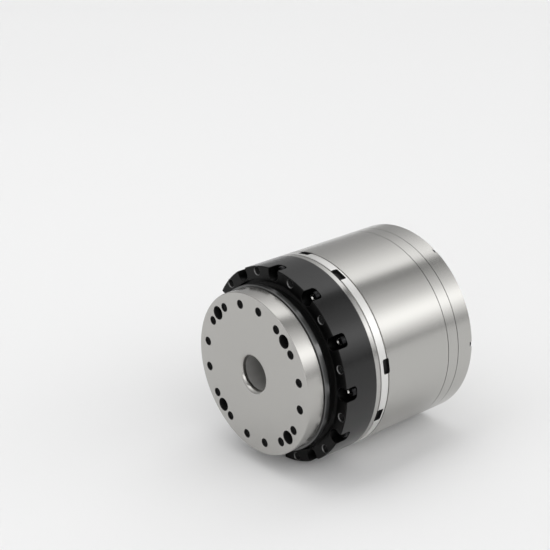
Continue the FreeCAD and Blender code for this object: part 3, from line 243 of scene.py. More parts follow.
class ActuatorHoleSizes(bpy.types.PropertyGroup):
    """Holes, pockets, slots and screws."""

    hole_sides: IntProperty(
        name="Hole sides", description="Facets round a hole", default=40, min=12, max=96
    )
    countersink: length("Countersink", "Bevel at the mouth of a hole", 0.16)
    bare_countersink: length("Bare countersink", "Bevel of the ring's threaded holes", 0.32)
    flange_hole_depth: length("Flange hole depth", "Depth of the flange's threads", 7.0)
    dowel_depth: length("Dowel depth", "Depth of the flange's dowel holes", 6.5)
    ring_hole_depth: length("Ring hole depth", "Depth of the ring's threads", 10.0)
    dowel_angle: IntProperty(
        name="Dowel angle", description="Angle of the first dowel hole, degrees", default=45
    )
    pocket_circle: length("Pocket circle", "Radius that the pocket screws stand on", 42.4)
    pocket_width: length("Pocket width", "Width of a screw pocket", 6.1)
    pocket_depth: length("Pocket depth", "Depth of a screw pocket along the axis", 5.9)
    pocket_round: length("Pocket round", "Round in the rear corners of a pocket", 1.5)
    pocket_seat: length("Pocket seat", "How much deeper the screw's seat lies", 0.1)
    pocket_bevel: length("Pocket bevel", "Bevel on the edges of a pocket", 0.18)
    slot_length: length("Slot length", "Length of a slot round the band", 6.7)
    slot_width: length("Slot width", "Width of a slot along the axis", 3.5)
    slot_overrun: length("Slot overrun", "How far a pair's first slot runs into the housing", 0.9)
    slot_inset: length("Slot inset", "From a pair's second slot to the housing", 1.0)
    # The liners in holes and slots are painted shade; this wall is also that of the thin bare cones
    liner: length("Liner", "Wall of the dark liners in holes and slots", 0.06)
    slot_depth: length("Slot depth", "Depth of a slot", 1.7)
    slot_round: length("Slot round", "Round in the corners of a slot", 0.7)
    slot_middle: FloatProperty(
        name="Slot middle", description="Angle of the first pair of slots, degrees", default=7.8
    )
    slot_spread: FloatProperty(
        name="Slot spread", description="From a pair's middle to a slot, degrees", default=15.4
    )
    slot_pairs: IntProperty(name="Slot pairs", description="Pairs of slots", default=4, min=1)
    screw_head: length("Screw head", "Radius of a screw's head", 2.5)
    screw_head_height: length("Head height", "Height of a ring screw's low head", 1.9)
    cap_head_height: length("Cap head height", "Height of a cap screw's head", 1.6)
    screw_shank: length("Screw shank", "Radius of a screw's shank", 1.5)
    screw_flats: length("Socket flats", "Width across a screw's hexagon", 2.0)
    screw_socket: length("Socket depth", "Depth of a screw's hexagon", 1.2)
    screw_dish: length("Socket dish", "Depth of the cone at the hexagon's mouth", 0.5)
    cap_circle: length("Cap screw circle", "Radius that the cap screws stand on", 42.2)
    cap_pocket: length("Cap pocket", "Radius of a pocket in the cap's rim", 3.0)
    cap_pocket_depth: length("Cap pocket depth", "Depth of a pocket in the cap's rim", 1.75)
    cap_screws: IntProperty(name="Cap screws", description="Screws in the cap", default=6, min=1)
    power_pins: IntProperty(name="Power pins", description="Pins in the power socket", default=2)
    bus_pins: IntProperty(name="Bus pins", description="Pins in a bus socket", default=4)
    pin_width: length("Pin width", "Width of a contact pin", 0.64)
    pin_recess: length("Pin recess", "From a pin's tip to the socket's face", 0.8)
    thread_pitch: length("Thread pitch", "Pitch of the threads", 0.7)
    thread_height: length("Thread height", "Height of the threads", 0.3)


class ActuatorColours(bpy.types.PropertyGroup):
    """Colours of the main finishes."""

    body: tint("Body", "Satin motor housing", (0.47, 0.464, 0.446))
    flange: tint("Flange", "Satin output flange", (0.46, 0.452, 0.434))
    brim: tint("Brim", "Ground brim of the flexible gear", (0.45, 0.444, 0.43))
    band: tint("Band", "Pale slotted band", (0.74, 0.735, 0.72))
    ring: tint("Ring", "Black anodised mounting ring", (0.007, 0.007, 0.007))
    floor: tint("Floor", "Pale floor", (0.82, 0.82, 0.82))


def point(distance, angle, place):
    """The point at a distance from the axis, an angle in radians and a place along the axis."""
    return Vector((distance * math.sin(angle), place, distance * math.cos(angle)))


def new_object(name, shape):
    """A linked object that holds the finished bmesh."""
    mesh = bpy.data.meshes.new(name)
    shape.to_mesh(mesh)
    shape.free()
    made = bpy.data.objects.new(name, mesh)
    bpy.context.scene.collection.objects.link(made)
    return made


def lofted(name, loops, closed=False):
    """A mesh through loops of points: a closed ring of loops, or one with a face over each end."""
    shape = bmesh.new()
    rings = [[shape.verts.new(corner) for corner in loop] for loop in loops]
    pairs = list(zip(rings, rings[1:]))
    if closed:
        pairs.append((rings[-1], rings[0]))
    else:
        shape.faces.new(rings[0])
        shape.faces.new(rings[-1])
    for first, second in pairs:
        for index in range(len(first)):
            follows = (index + 1) % len(first)
            shape.faces.new((first[index], second[index], second[follows], first[follows]))
    bmesh.ops.recalc_face_normals(shape, faces=shape.faces)
    return new_object(name, shape)


def evenly(count):
    """Angles in even steps round a circle."""
    return [2 * math.pi * index / count for index in range(count)]


def circle_at(circle, place, size, angles):
    """Points round a hole or a screw that stands on a bolt circle, parallel to the axis."""
    centre = Vector((0, 0, circle))
    return [centre + point(size, angle, place) for angle in angles]


def turned(name, outline, segments):
    """A closed outline of (place, radius) points turned about the axis."""
    angles = evenly(segments)
    loops = [[point(distance, angle, place) for angle in angles] for place, distance in outline]
    return lofted(name, loops, closed=True)


def rounded(corner, before, after, size, steps):
    """Points of a round of a given size at a corner between two neighbours, all (place, radius)."""
    centre = Vector(corner)
    back = (Vector(before) - centre).normalized() * size
    ahead = (Vector(after) - centre).normalized() * size
    hub = centre + back + ahead
    points = []
    for step in range(steps + 1):
        lean = math.pi / 2 * step / steps
        points.append(tuple(hub - ahead * math.cos(lean) - back * math.sin(lean)))
    return points


def hole_cutter(steps, circle, holes):
    """A cutter for a round hole parallel to the axis, from (place, radius) steps."""
    angles = evenly(holes.hole_sides)
    return lofted("cutter", [circle_at(circle, place, size, angles) for place, size in steps])


def countersunk(mouth, depth, size, bevel):
    """Steps of a hole that starts at a face towards -Y and has a bevelled mouth."""
    return [
        (mouth - bevel, size + 2 * bevel),
        (mouth, size + bevel),
        (mouth + bevel, size),
        (mouth + depth, size),
        (mouth + depth + size / 2, size / 8),
    ]


def cup(inner, outer):
    """A thin cup whose walls run between inner and outer loops, each from the rim inwards."""
    return lofted("one", [*reversed(inner), *outer])


def hole_shade_liner(mouth, depth, size, circle, holes):
    """A dark cup that lines one hole parallel to the axis: painted shade over its countersink and
    wall.
    """
    angles = evenly(holes.hole_sides)
    bevel = holes.countersink
    wall = holes.liner
    start = mouth + bevel
    end = mouth + depth
    narrow = ((mouth, size + bevel - wall), (start, size - wall), (end - wall, size - wall))
    wide = ((mouth, size + bevel), (start, size), (end, size))
    inner = [circle_at(circle, place, reach, angles) for place, reach in narrow]
    return cup(inner, [circle_at(circle, place, reach, angles) for place, reach in wide])


def bare_edge(mouth, size, circle, bevel, holes):
    """A thin bare cone over the countersink of one hole, where its tap cut through the coat."""
    angles = evenly(holes.hole_sides)
    wall = holes.liner
    steps = ((0, bevel), (0, bevel - wall), (bevel, -wall), (bevel, 0))
    loops = [circle_at(circle, mouth + place, size + reach, angles) for place, reach in steps]
    return lofted("one", loops, closed=True)


def seam_edge(place, outer, way, width, sizes):
    """Outline of an edge beside a seam: way is 1 where the piece starts and -1 where it ends."""
    inside = place + way * width
    points = [
        (place, outer - sizes.seam_depth),
        (inside, outer - sizes.seam_depth),
        (inside, outer - sizes.seam),
        (inside + way * sizes.seam, outer),
    ]
    return points if way > 0 else points[::-1]


def around_tree(cut):
    """A tree that copies an object round the axis, and adds the copies or cuts them out."""
    name = "Cut out round the axis" if cut else "Copy round the axis"
    tree = bpy.data.node_groups.new(name, "GeometryNodeTree")
    side = tree.interface
    side.new_socket("Geometry", in_out="OUTPUT", socket_type="NodeSocketGeometry")
    side.new_socket("Geometry", in_out="INPUT", socket_type="NodeSocketGeometry")
    side.new_socket("Copied object", in_out="INPUT", socket_type="NodeSocketObject")
    side.new_socket("Count", in_out="INPUT", socket_type="NodeSocketInt")
    side.new_socket("First angle", in_out="INPUT", socket_type="NodeSocketFloat")
    side.new_socket("Finish", in_out="INPUT", socket_type="NodeSocketMaterial")
    given = tree.nodes.new("NodeGroupInput").outputs
    made = tree.nodes.new("NodeGroupOutput")

    def joined(kind, links, **settings):
        node = tree.nodes.new(kind)
        for key, value in settings.items():
            setattr(node, key, value)
        for socket, source in links.items():
            if isinstance(source, bpy.types.NodeSocket):
                tree.links.new(source, node.inputs[socket])
            else:
                node.inputs[socket].default_value = source
        return node.outputs

    copied = joined("GeometryNodeObjectInfo", {"Object": given["Copied object"]})["Geometry"]
    points = joined("GeometryNodePoints", {"Count": given["Count"]})[0]
    index = joined("GeometryNodeInputIndex", {})[0]
    step = joined("ShaderNodeMath", {0: 2 * math.pi, 1: given["Count"]}, operation="DIVIDE")[0]
    turn = joined(
        "ShaderNodeMath", {0: index, 1: step, 2: given["First angle"]}, operation="MULTIPLY_ADD"
    )[0]
    lean = joined("ShaderNodeCombineXYZ", {"Y": turn})[0]
    placed = joined(
        "GeometryNodeInstanceOnPoints", {"Points": points, "Instance": copied, "Rotation": lean}
    )[0]
    real = joined("GeometryNodeRealizeInstances", {"Geometry": placed})[0]
    if cut:
        real = joined(
            "GeometryNodeMeshBoolean",
            {"Mesh 1": given["Geometry"], "Mesh 2": real},
            operation="DIFFERENCE",
            solver="MANIFOLD",
        )[0]
    shown = joined("GeometryNodeSetMaterial", {"Geometry": real, "Material": given["Finish"]})[0]
    tree.links.new(shown, made.inputs[0])
    return tree


def run_tree(target, tree, values):
    """Run a node tree on an object, with values for its named inputs, and keep the plain mesh."""
    inputs = [item for item in tree.interface.items_tree if item.in_out == "INPUT"]
    names = {item.name: item.identifier for item in inputs}
    modifier = target.modifiers.new("Shape", "NODES")
    modifier.node_group = tree
    for name, value in values.items():
        modifier[names[name]] = value
    graph = bpy.context.evaluated_depsgraph_get()
    mesh = bpy.data.meshes.new_from_object(target.evaluated_get(graph), depsgraph=graph)
    target.modifiers.remove(modifier)
    target.data = mesh


def around(target, copied, count, first, finish, cut=False):
    """Copy an object round the axis onto a target, or cut it out of the target, and delete it."""
    key = "cut" if cut else "copy"
    if key not in TREES:
        TREES[key] = around_tree(cut)
    values = {
        "Copied object": copied,
        "Count": count,
        "First angle": math.radians(first),
        "Finish": finish,
    }
    run_tree(target, TREES[key], values)
    bpy.data.objects.remove(copied)


def drill(target, mount, mouth, depth, bevel, first, finish, holes):
    """Cut the holes of a mount into a turned piece, the first at an angle in degrees."""
    circle, size, count = bolt_circle(mount)
    cutter = hole_cutter(countersunk(mouth, depth, size, bevel), circle, holes)
    around(target, cutter, count, first, finish, cut=True)


def dress(piece, slot, body, *nodes, sharp=SHARP, finish=None):
    """Shade a finished piece, give it its material, hang it on its body, and hide the CAD nodes
    that it replaces.
    """
    mesh = piece.data
    mesh.materials.clear()
    mesh.materials.append(FINISHES[finish or slot])
    mesh.polygons.foreach_set("material_index", [0] * len(mesh.polygons))
    mesh.shade_smooth()
    mesh.set_sharp_from_angle(angle=math.radians(sharp))
    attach(piece, body)
    if nodes:
        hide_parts(*nodes)


def copies(name, one, count, first, slot, body, *nodes, sharp=SHARP, finish=None):
    """A finished piece of copies round the axis, the first at an angle in degrees."""
    made = new_object(name, bmesh.new())
    around(made, one, count, first, FINISHES[finish or slot])
    dress(made, slot, body, *nodes, sharp=sharp, finish=finish)


def hole_shade_walls(name, mount, mouth, depth, first, body, holes):
    """Dark liners of painted shade on the walls of the holes of a mount."""
    circle, size, count = bolt_circle(mount)
    one = hole_shade_liner(mouth, depth, size, circle, holes)
    copies(name, one, count, first, "screw_steel", body, finish="painted_hole_shade")


class Value:
    """A shader socket that takes part in sums."""

    def __init__(self, shader, socket):
        self.shader = shader
        self.socket = socket

    def __add__(self, other):
        return self.shader.maths("ADD", self, other)

    def __sub__(self, other):
        return self.shader.maths("SUBTRACT", self, other)

    def __rsub__(self, other):
        return self.shader.maths("SUBTRACT", other, self)

    def __mul__(self, other):
        return self.shader.maths("MULTIPLY", self, other)

    def __pow__(self, other):
        return self.shader.maths("POWER", self, other)

    __radd__ = __add__
    __rmul__ = __mul__


class Shader:
    """The node tree of a material or of the world."""

    def __init__(self, owner):
        owner.use_nodes = True
        self.tree = owner.node_tree
        self.tree.nodes.clear()

    def node(self, kind, settings, sockets, output=0):
        """Add a node with its settings and its sockets' values or links, and give one output."""
        made = self.tree.nodes.new(kind)
        for key, setting in settings.items():
            if key == "stops":
                self.fill_ramp(made.color_ramp, setting)
            else:
                setattr(made, key, setting)
        for key, value in sockets.items():
            if isinstance(value, Value):
                self.tree.links.new(value.socket, made.inputs[key])
            else:
                made.inputs[key].default_value = value
        return Value(self, made.outputs[output]) if made.outputs else None

    def fill_ramp(self, ramp, stops):
        while len(ramp.elements) < len(stops):
            ramp.elements.new(0.5)
        for element, (place, level) in zip(ramp.elements, stops):
            element.position = place
            element.color = (level, level, level, 1)

    def where(self):
        """The object coordinates as x, y and z."""
        return self.parts(self.node("ShaderNodeTexCoord", {}, {}, "Object"))

    def parts(self, spot):
        return [self.node("ShaderNodeSeparateXYZ", {}, {0: spot}, axis) for axis in "XYZ"]

    def joined(self, x, y, z):
        return self.node("ShaderNodeCombineXYZ", {}, {0: x, 1: y, 2: z})

    def maths(self, operation, first, second=0.0):
        return self.node("ShaderNodeMath", {"operation": operation}, {0: first, 1: second})

    def noise(self, spot, scale, detail=2.0):
        sockets = {"Vector": spot, "Scale": scale, "Detail": detail}
        return self.node("ShaderNodeTexNoise", {}, sockets)

    def turning_rings(self, x, y, z, fine, drift):
        """The fine rings that a lathe leaves, whose shade drifts slowly along each ring."""
        along = (distance_from_axis(x, z) + y) * fine
        return self.noise(self.joined(along, x * drift, z * drift), scale=1.0)

    def mixed(self, amount, first, second):
        """A blend of two colours."""
        sockets = {0: amount, 6: first, 7: second}
        return self.node("ShaderNodeMix", {"data_type": "RGBA"}, sockets, 2)

    def bump(self, height, depth):
        """A bump of a depth in metres."""
        sockets = {"Height": height, "Distance": depth, "Strength": 1.0}
        return self.node("ShaderNodeBump", {}, sockets)

    def surface(self, **sockets):
        """Close a material with one shader whose sockets are named with underscores."""
        values = {name.replace("_", " "): value for name, value in sockets.items()}
        body = self.node("ShaderNodeBsdfPrincipled", {}, values)
        self.node("ShaderNodeOutputMaterial", {}, {"Surface": body})


def new_finish(slot):
    """Make a material, keep it under its name, and give its shader."""
    FINISHES[slot] = bpy.data.materials.new(slot)
    return Shader(FINISHES[slot])


def shade_of(colour, level):
    """A colour made lighter or darker, with its alpha."""
    return (*(min(1.0, part * level) for part in colour), 1)


def distance_from_axis(x, z):
    """How far a point of the surface is from the actuator's axis."""
    return (x * x + z * z) ** 0.5


def turned_metal(slot, colour, roughness, depth, contrast=0.015, fine=2600):
    """Metal with the fine rings that a lathe leaves, and a little unevenness."""
    shader = new_finish(slot)
    x, y, z = shader.where()
    rings = shader.turning_rings(x, y, z, fine, drift=90)
    spot = shader.joined(x, y, z)
    cloud = shader.noise(spot, scale=34.0, detail=3.0)
    grit = shader.noise(spot, scale=5200.0, detail=1.0)
    tone = shader.mixed(
        rings * 0.6 + cloud * 0.4, shade_of(colour, 1 - contrast), shade_of(colour, 1 + contrast)
    )
    surface = rings * 0.7 + grit * 0.3
    shader.surface(
        Base_Color=tone,
        Metallic=1.0,
        Roughness=roughness + (rings - 0.5) * 0.06 + (cloud - 0.5) * 0.05,
        Normal=shader.bump(surface, depth * MM),
    )


def coated_metal(slot, colour, roughness, skin):
    """Black anodised metal: glossy on its turned outside, and blasted matt within a radius."""
    shader = new_finish(slot)
    x, y, z = shader.where()
    sockets = {
        "Value": distance_from_axis(x, z),
        "From Min": skin,
        "From Max": skin - COAT_FADE,
    }
    inside = shader.node("ShaderNodeMapRange", {}, sockets)
    rings = shader.turning_rings(x, y, z, fine=1500, drift=60)
    spot = shader.joined(x, y, z)
    cloud = shader.noise(spot, scale=60.0, detail=3.0)
    grit = shader.noise(spot, scale=6000.0, detail=1.0)
    tone = shader.mixed(cloud, shade_of(colour, 0.8), shade_of(colour, 1.3))
    shader.surface(
        Base_Color=tone,
        Metallic=inside * 0.92,
        Roughness=roughness + (cloud - 0.5) * 0.1 + (rings - 0.5) * 0.08 + inside * 0.15,
        IOR=1.43,
        Normal=shader.bump(rings * 0.5 + grit * 0.5, 0.0015 * MM),
    )


def cast_material(slot, colour, roughness, metallic, scale, contrast, depth):
    """A plain material with even mottling: rubber, moulded plastic, sintered or cut metal."""
    shader = new_finish(slot)
    x, y, z = shader.where()
    spot = shader.joined(x, y, z)
    mottle = shader.noise(spot, scale=scale, detail=3.0)
    grit = shader.noise(spot, scale=scale * 12)
    tone = shader.mixed(mottle, shade_of(colour, 1 - contrast), shade_of(colour, 1 + contrast))
    shader.surface(
        Base_Color=tone,
        Metallic=metallic,
        Roughness=roughness + (mottle - 0.5) * 0.15,
        Normal=shader.bump(grit, depth * MM),
    )


def wound_wire(slot):
    """Enamelled copper wire in tight turns round each coil."""
    shader = new_finish(slot)
    x, y, z = shader.where()
    turns = shader.maths("SINE", distance_from_axis(x, z) * 9000)
    mottle = shader.noise(shader.joined(x, y, z), scale=260.0)
    tone = shader.mixed(mottle, (0.42, 0.13, 0.035, 1), (0.62, 0.22, 0.06, 1))
    shader.surface(
        Base_Color=tone,
        Metallic=0.9,
        Roughness=0.28 + mottle * 0.12,
        Normal=shader.bump(turns, 0.05 * MM),
    )


def printed_board(slot):
    """Green circuit board with paler tracks under its mask."""
    shader = new_finish(slot)
    x, y, z = shader.where()
    spot = shader.joined(x, y, z)
    cells = shader.node(
        "ShaderNodeTexVoronoi", {"distance": "CHEBYCHEV"}, {"Vector": spot, "Scale": 420.0}
    )
    tracks = shader.node(
        "ShaderNodeValToRGB", {"stops": ((0.30, 0.0), (0.36, 1.0))}, {"Fac": cells}
    )
    tone = shader.mixed(tracks, (0.012, 0.085, 0.035, 1), (0.02, 0.15, 0.06, 1))
    shader.surface(
        Base_Color=tone, Roughness=0.34, Coat_Weight=0.4, Normal=shader.bump(tracks, 0.02 * MM)
    )


def ruled_disc(slot):
    """Encoder disc: dark glass with fine radial marks near its rim."""
    shader = new_finish(slot)
    x, _, z = shader.where()
    waves = shader.maths("SINE", shader.maths("ARCTAN2", x, z) * 256)
    lines = shader.maths("GREATER_THAN", waves)
    tone = shader.mixed(lines, (0.03, 0.03, 0.035, 1), (0.35, 0.36, 0.38, 1))
    shader.surface(Base_Color=tone, Roughness=0.12 + lines * 0.15, Metallic=lines * 0.8)


def make_finishes(colours):
    """Every material of the actuator, under its slot's name or a name of its own.

    A turned metal has its colour, its roughness and the depth of its rings in millimetres. A cast
    material has its colour, roughness, share of metal, the scale and contrast of its mottling, and
    the depth of its grit in millimetres.
    """
    turned_metal("satin_metal", colours.body, 0.23, 0.0024, contrast=0.035)
    turned_metal("satin_flange", colours.flange, 0.24, 0.0016, fine=2200)
    coated_metal("black_anodised", colours.ring, 0.21, radius("mounting_ring") - COAT_SKIN)
    # Near-black finish that paints the shade inside holes, slots and threads
    cast_material("painted_hole_shade", (0.018, 0.018, 0.018), 0.55, 0.6, 900.0, 0.3, 0.01)
    turned_metal("bright_steel", colours.brim, 0.20, 0.0015)
    turned_metal("band_metal", colours.band, 0.42, 0.0015)
    turned_metal("gear_steel", (0.15, 0.15, 0.15), 0.32, 0.004)
    turned_metal("bearing_steel", (0.66, 0.66, 0.66), 0.14, 0.001)
    cast_material("screw_steel", (0.022, 0.022, 0.023), 0.30, 1.0, 900.0, 0.25, 0.004)
    cast_material("core_steel", (0.22, 0.22, 0.23), 0.45, 1.0, 400.0, 0.2, 0.02)
    wound_wire("copper_wire")
    cast_material("magnet_nickel", (0.60, 0.58, 0.54), 0.22, 1.0, 200.0, 0.08, 0.004)
    cast_material("seal_rubber", (0.012, 0.012, 0.012), 0.62, 0.0, 700.0, 0.3, 0.03)
    printed_board("circuit_board")
    cast_material("brass_pillar", (0.66, 0.47, 0.20), 0.28, 1.0, 500.0, 0.1, 0.01)
    cast_material("bushing_plastic", (0.62, 0.60, 0.54), 0.48, 0.0, 500.0, 0.06, 0.01)
    cast_material("socket_plastic", (0.72, 0.68, 0.52), 0.42, 0.0, 800.0, 0.08, 0.015)
    cast_material("tube_metal", (0.36, 0.355, 0.345), 0.36, 0.3, 700.0, 0.06, 0.006)
    ruled_disc("encoder_disc")
    cast_material("cage_brass", (0.58, 0.40, 0.17), 0.34, 1.0, 300.0, 0.12, 0.01)
    cast_material("friction_lining", (0.11, 0.095, 0.085), 0.80, 0.0, 1100.0, 0.45, 0.05)


class ACTUATOR_OT_finishes(bpy.types.Operator):
    """Make the materials and put one on every CAD part"""

    bl_idname = "actuator.finishes"
    bl_label = "Finishes"

    def execute(self, context):
        make_finishes(context.scene.actuator_colours)
        for part in frame["record"]["subparts"]:
            slots = frame["nodes"][part["node"]].data.materials
            slots.clear()
            slots.append(FINISHES[part["material_slot"]])
        return {"FINISHED"}


class ACTUATOR_OT_output_flange(bpy.types.Operator):
    """Turn and drill the output flange, and line its bore with the cable tube"""

    bl_idname = "actuator.output_flange"
    bl_label = "Output flange"

    def execute(self, context):
        sizes = context.scene.actuator_shell
        holes = context.scene.actuator_holes
        face = front("output_flange")
        back = rear("output_flange")
        outer = radius("output_flange")
        tube = radius("output_tube")
        inner = tube - sizes.tube_wall
        step = face + sizes.mouth_depth
        edge = (face, outer)
        lip = (face, inner)
        outline = [
            *rounded(edge, (face, 0), (back, outer), sizes.edge_round, sizes.corner_steps),
            (back - sizes.seam, outer),
            (back, outer - sizes.seam),
            (back, tube),
            (step, tube),
            (step, inner),
            *rounded(lip, (back, inner), (face, outer), sizes.mouth_round, sizes.corner_steps * 2),
        ]
        flange = turned("flange_turned", outline, sizes.segments)
        between = 180 / bolt_circle("output_bolts")[2]
        sets = (
            ("flange_bolt_walls", "output_bolts", holes.flange_hole_depth, between),
            ("flange_dowel_walls", "output_dowels", holes.dowel_depth, holes.dowel_angle),
        )
        metal = FINISHES["satin_flange"]
        for _, mount, depth, first in sets:
            drill(flange, mount, face, depth, holes.countersink, first, metal, holes)
        dress(flange, "satin_flange", "output", "output_flange")
        # Dark liners in the flange's holes paint their shade
        for name, mount, depth, first in sets:
            hole_shade_walls(name, mount, face, depth, first, "output", holes)
        start = front("output_tube")
        end = rear("output_tube")
        bevel = sizes.tube_wall / 2
        outline = [
            (start, inner),
            (start, tube),
            (end - bevel, tube),
            (end, tube - bevel),
            (end, inner),
        ]
        dress(turned("cable_tube", outline, sizes.segments), "tube_metal", "output", "output_tube")
        return {"FINISHED"}


def tooth_points(count, pitch, sizes, outside, oval=0.0):
    """The (radius, angle) corners of straight-flanked teeth, drawn out to an oval."""
    slope = math.tan(math.radians(sizes.pressure_angle))
    root = sizes.tooth_thickness / 2 + sizes.tooth_below * slope
    tip = sizes.tooth_thickness / 2 - sizes.tooth_above * slope
    corners = []
    for index in range(count):
        free = 2 * math.pi * (index if outside else index + 0.5) / count
        middle = free - oval / (2 * pitch) * math.sin(2 * free)
        reach = pitch + oval * math.cos(2 * free)
        crest = reach + sizes.tooth_above if outside else reach - sizes.tooth_above
        foot = reach - sizes.tooth_below if outside else reach + sizes.tooth_below
        for level, half in ((foot, -root), (crest, -tip), (crest, tip), (foot, root)):
            corners.append((level, middle + half / pitch))
    return corners


class ACTUATOR_OT_gears(bpy.types.Operator):
    """Cut the ring gear and the flexible gear, whose brim is the first bright band"""

    bl_idname = "actuator.gears"
    bl_label = "Gears"

    def execute(self, context):
        sizes = context.scene.actuator_gears
        shell = context.scene.actuator_shell
        holes = context.scene.actuator_holes
        self.ring_gear(sizes)
        self.flexible_gear(sizes, shell, holes)
        return {"FINISHED"}

    def ring_gear(self, sizes):
        """The rigid gear with its collar behind the flange."""
        count = sizes.flex_teeth + sizes.tooth_difference
        corners = tooth_points(count, sizes.module * count / 2, sizes, False)
        start = front("ring_gear")
        end = rear("ring_gear")
        collar = radius("ring_gear")
        edge = sizes.collar_edge
        step = start + sizes.register_height
        back = start + sizes.collar
        outline = (
            (start, sizes.register),
            (step, sizes.register),
            (step, collar - edge),
            (step + edge, collar),
            (back - edge, collar),
            (back, collar - edge),
            (back, sizes.ring_body),
            (end, sizes.ring_body),
        )
        loops = [[point(reach, angle, start) for reach, angle in corners]]
        for place, reach in outline:
            loops.append([point(reach, angle, place) for _, angle in corners])
        loops.append([point(reach, angle, end) for reach, angle in corners])
        gear = lofted("ring_gear_cut", loops, closed=True)
        dress(gear, "gear_steel", "output", "ring_gear")

    def flexible_gear(self, sizes, shell, holes):
        """The oval cup of the flexible gear, its thin web and its wide brim."""
        count = sizes.flex_teeth
        pitch = sizes.module * count / 2
        oval = sizes.module * sizes.tooth_difference / 2
        corners = tooth_points(count, pitch, sizes, True, oval)
        start = front("flexible_gear")
        teeth_end = rear("ring_gear")
        brim = rear("mounting_ring")
        end = rear("flexible_gear")
        outer = radius("motor_housing")
        root = pitch - sizes.tooth_below
        inner = root - sizes.flex_wall
        web_rear = end - sizes.web_gap
        web_front = web_rear - sizes.web_thickness
        edge = shell.brim_edge

        def round_loop(place, reach):
            return [point(reach, angle, place) for _, angle in corners]

        def oval_loop(place, reach):
            return [point(reach + oval * math.cos(2 * angle), angle, place) for _, angle in corners]

        loops = [
            [point(reach, angle, start) for reach, angle in corners],
            [point(reach, angle, teeth_end) for reach, angle in corners],
            oval_loop(teeth_end, root),
            round_loop(web_front, root),
            round_loop(web_front, sizes.web_radius),
            round_loop(brim, sizes.web_radius),
            round_loop(brim, outer - edge),
            round_loop(brim + edge, outer),
        ]
        for place, reach in seam_edge(end, outer, -1, shell.band_seam, shell):
            loops.append(round_loop(place, reach))
        loops += [
            round_loop(end, sizes.web_radius),
            round_loop(web_rear, sizes.web_radius),
            round_loop(web_rear, inner),
            oval_loop(teeth_end, inner),
            oval_loop(start, inner),
        ]
        gear = lofted("flexible_gear_cut", loops, closed=True)
        reach = holes.screw_shank + SCREW_CLEARANCE
        steps = [(brim - MM, reach), (end + MM, reach)]
        cutter = hole_cutter(steps, holes.pocket_circle, holes)
        screws = MOUNTS["arm_bolts"]["dims"]["count"]
        around(gear, cutter, screws, 0, FINISHES["bright_steel"], cut=True)
        dress(gear, "bright_steel", "housing", "flexible_gear")


class ACTUATOR_OT_mounting_ring(bpy.types.Operator):
    """Turn the black mounting ring and cut its screw pockets and threaded holes"""

    bl_idname = "actuator.mounting_ring"
    bl_label = "Mounting ring"

    def execute(self, context):
        sizes = context.scene.actuator_shell
        holes = context.scene.actuator_holes
        outer = radius("motor_housing")
        back = rear("mounting_ring")
        recess = radius("ring_gear") + sizes.recess_gap
        bearing = radius("bearing_outer_ring")
        seal = radius("output_seal")
        outline = [
            (0, recess + sizes.seam),
            (0, outer - sizes.ring_edge),
            (sizes.ring_edge, outer),
            (back - sizes.seam, outer),
            (back, outer - sizes.seam),
            (back, bearing),
            (front("bearing_outer_ring"), bearing),
            (front("bearing_outer_ring"), seal),
            (front("output_seal"), seal),
            (front("output_seal"), recess),
            (sizes.seam, recess),
        ]
        ring = turned("mounting_ring_turned", outline, sizes.segments)
        black = FINISHES["black_anodised"]
        circle, size, count = bolt_circle("arm_bolts")
        between = 180 / count
        mouth = holes.bare_countersink
        depth = holes.ring_hole_depth
        drill(ring, "arm_bolts", 0, depth, mouth, between, black, holes)
        around(ring, pocket_cutter(holes, outer), count, 0, black, cut=True)
        bevel = holes.pocket_bevel
        half = holes.pocket_width / 2
        seat = half - holes.pocket_seat
        floor = holes.pocket_depth + holes.pocket_seat
        steps = [(-bevel, half + 2 * bevel), (bevel, seat), (floor, seat)]
        cutter = hole_cutter(steps, holes.pocket_circle, holes)
        around(ring, cutter, count, 0, black, cut=True)
        dress(ring, "black_anodised", "housing", "mounting_ring")
        # Dark liners in the ring's threaded holes paint their shade
        hole_shade_walls("ring_hole_walls", "arm_bolts", mouth, depth - mouth, between, "housing", holes)
        one = bare_edge(0, size, circle, mouth, holes)
        copies("ring_hole_edges", one, count, between, "gear_steel", "housing")
        return {"FINISHED"}


def corner_outline(half, back, size, steps, grow):
    """Half width, rear corner and front opening of a pocket, grown outwards, as (x, y) points."""
    half = half + grow
    back = back + grow
    size = size + grow
    points = [(half, -half)]
    for step in range(steps + 1):
        lean = math.pi / 2 * step / steps
        points.append((half - size * (1 - math.cos(lean)), back - size * (1 - math.sin(lean))))
    for step in range(steps + 1):
        lean = math.pi / 2 * (1 - step / steps)
        points.append((-half + size * (1 - math.cos(lean)), back - size * (1 - math.sin(lean))))
    points.append((-half, -half))
    return points


def pocket_cutter(holes, outer):
    """The cutter that opens a screw pocket to the ring's side, with a bevel all along its edge."""
    bevel = holes.pocket_bevel
    loops = []
    for rise, grow in ((-bevel, 0), (2 * bevel, 3 * bevel)):
        corners = corner_outline(
            holes.pocket_width / 2, holes.pocket_depth, holes.pocket_round, POCKET_STEPS, grow
        )
        loops.append([(x, y, math.sqrt(outer * outer - x * x) + rise) for x, y in corners])
    base = [(x, y, holes.pocket_circle) for x, y, _ in loops[0]]
    return lofted("cutter", [base, *loops])


def slot_corners(holes, end, grow=0.0):
    """The rounded outline of a slot as (x, y) points, grown outwards."""
    half = holes.slot_length / 2 + grow
    size = holes.slot_round + grow
    low = end - holes.slot_width - grow
    high = end + grow
    corners = []
    for x, y, quarter in ((half, high, 0), (-half, high, 1), (-half, low, 2), (half, low, 3)):
        for step in range(SLOT_STEPS + 1):
            lean = math.pi / 2 * (quarter + step / SLOT_STEPS)
            across = math.copysign(half - size, x) + size * math.cos(lean)
            middle = y - size if quarter < 2 else y + size
            corners.append((across, middle + size * math.sin(lean)))
    return corners


def slot_loop(corners, outer, rise):
    """A slot's outline laid on the round outside, raised or sunk by a height."""
    return [Vector((x, y, math.sqrt(outer * outer - x * x) + rise)) for x, y in corners]


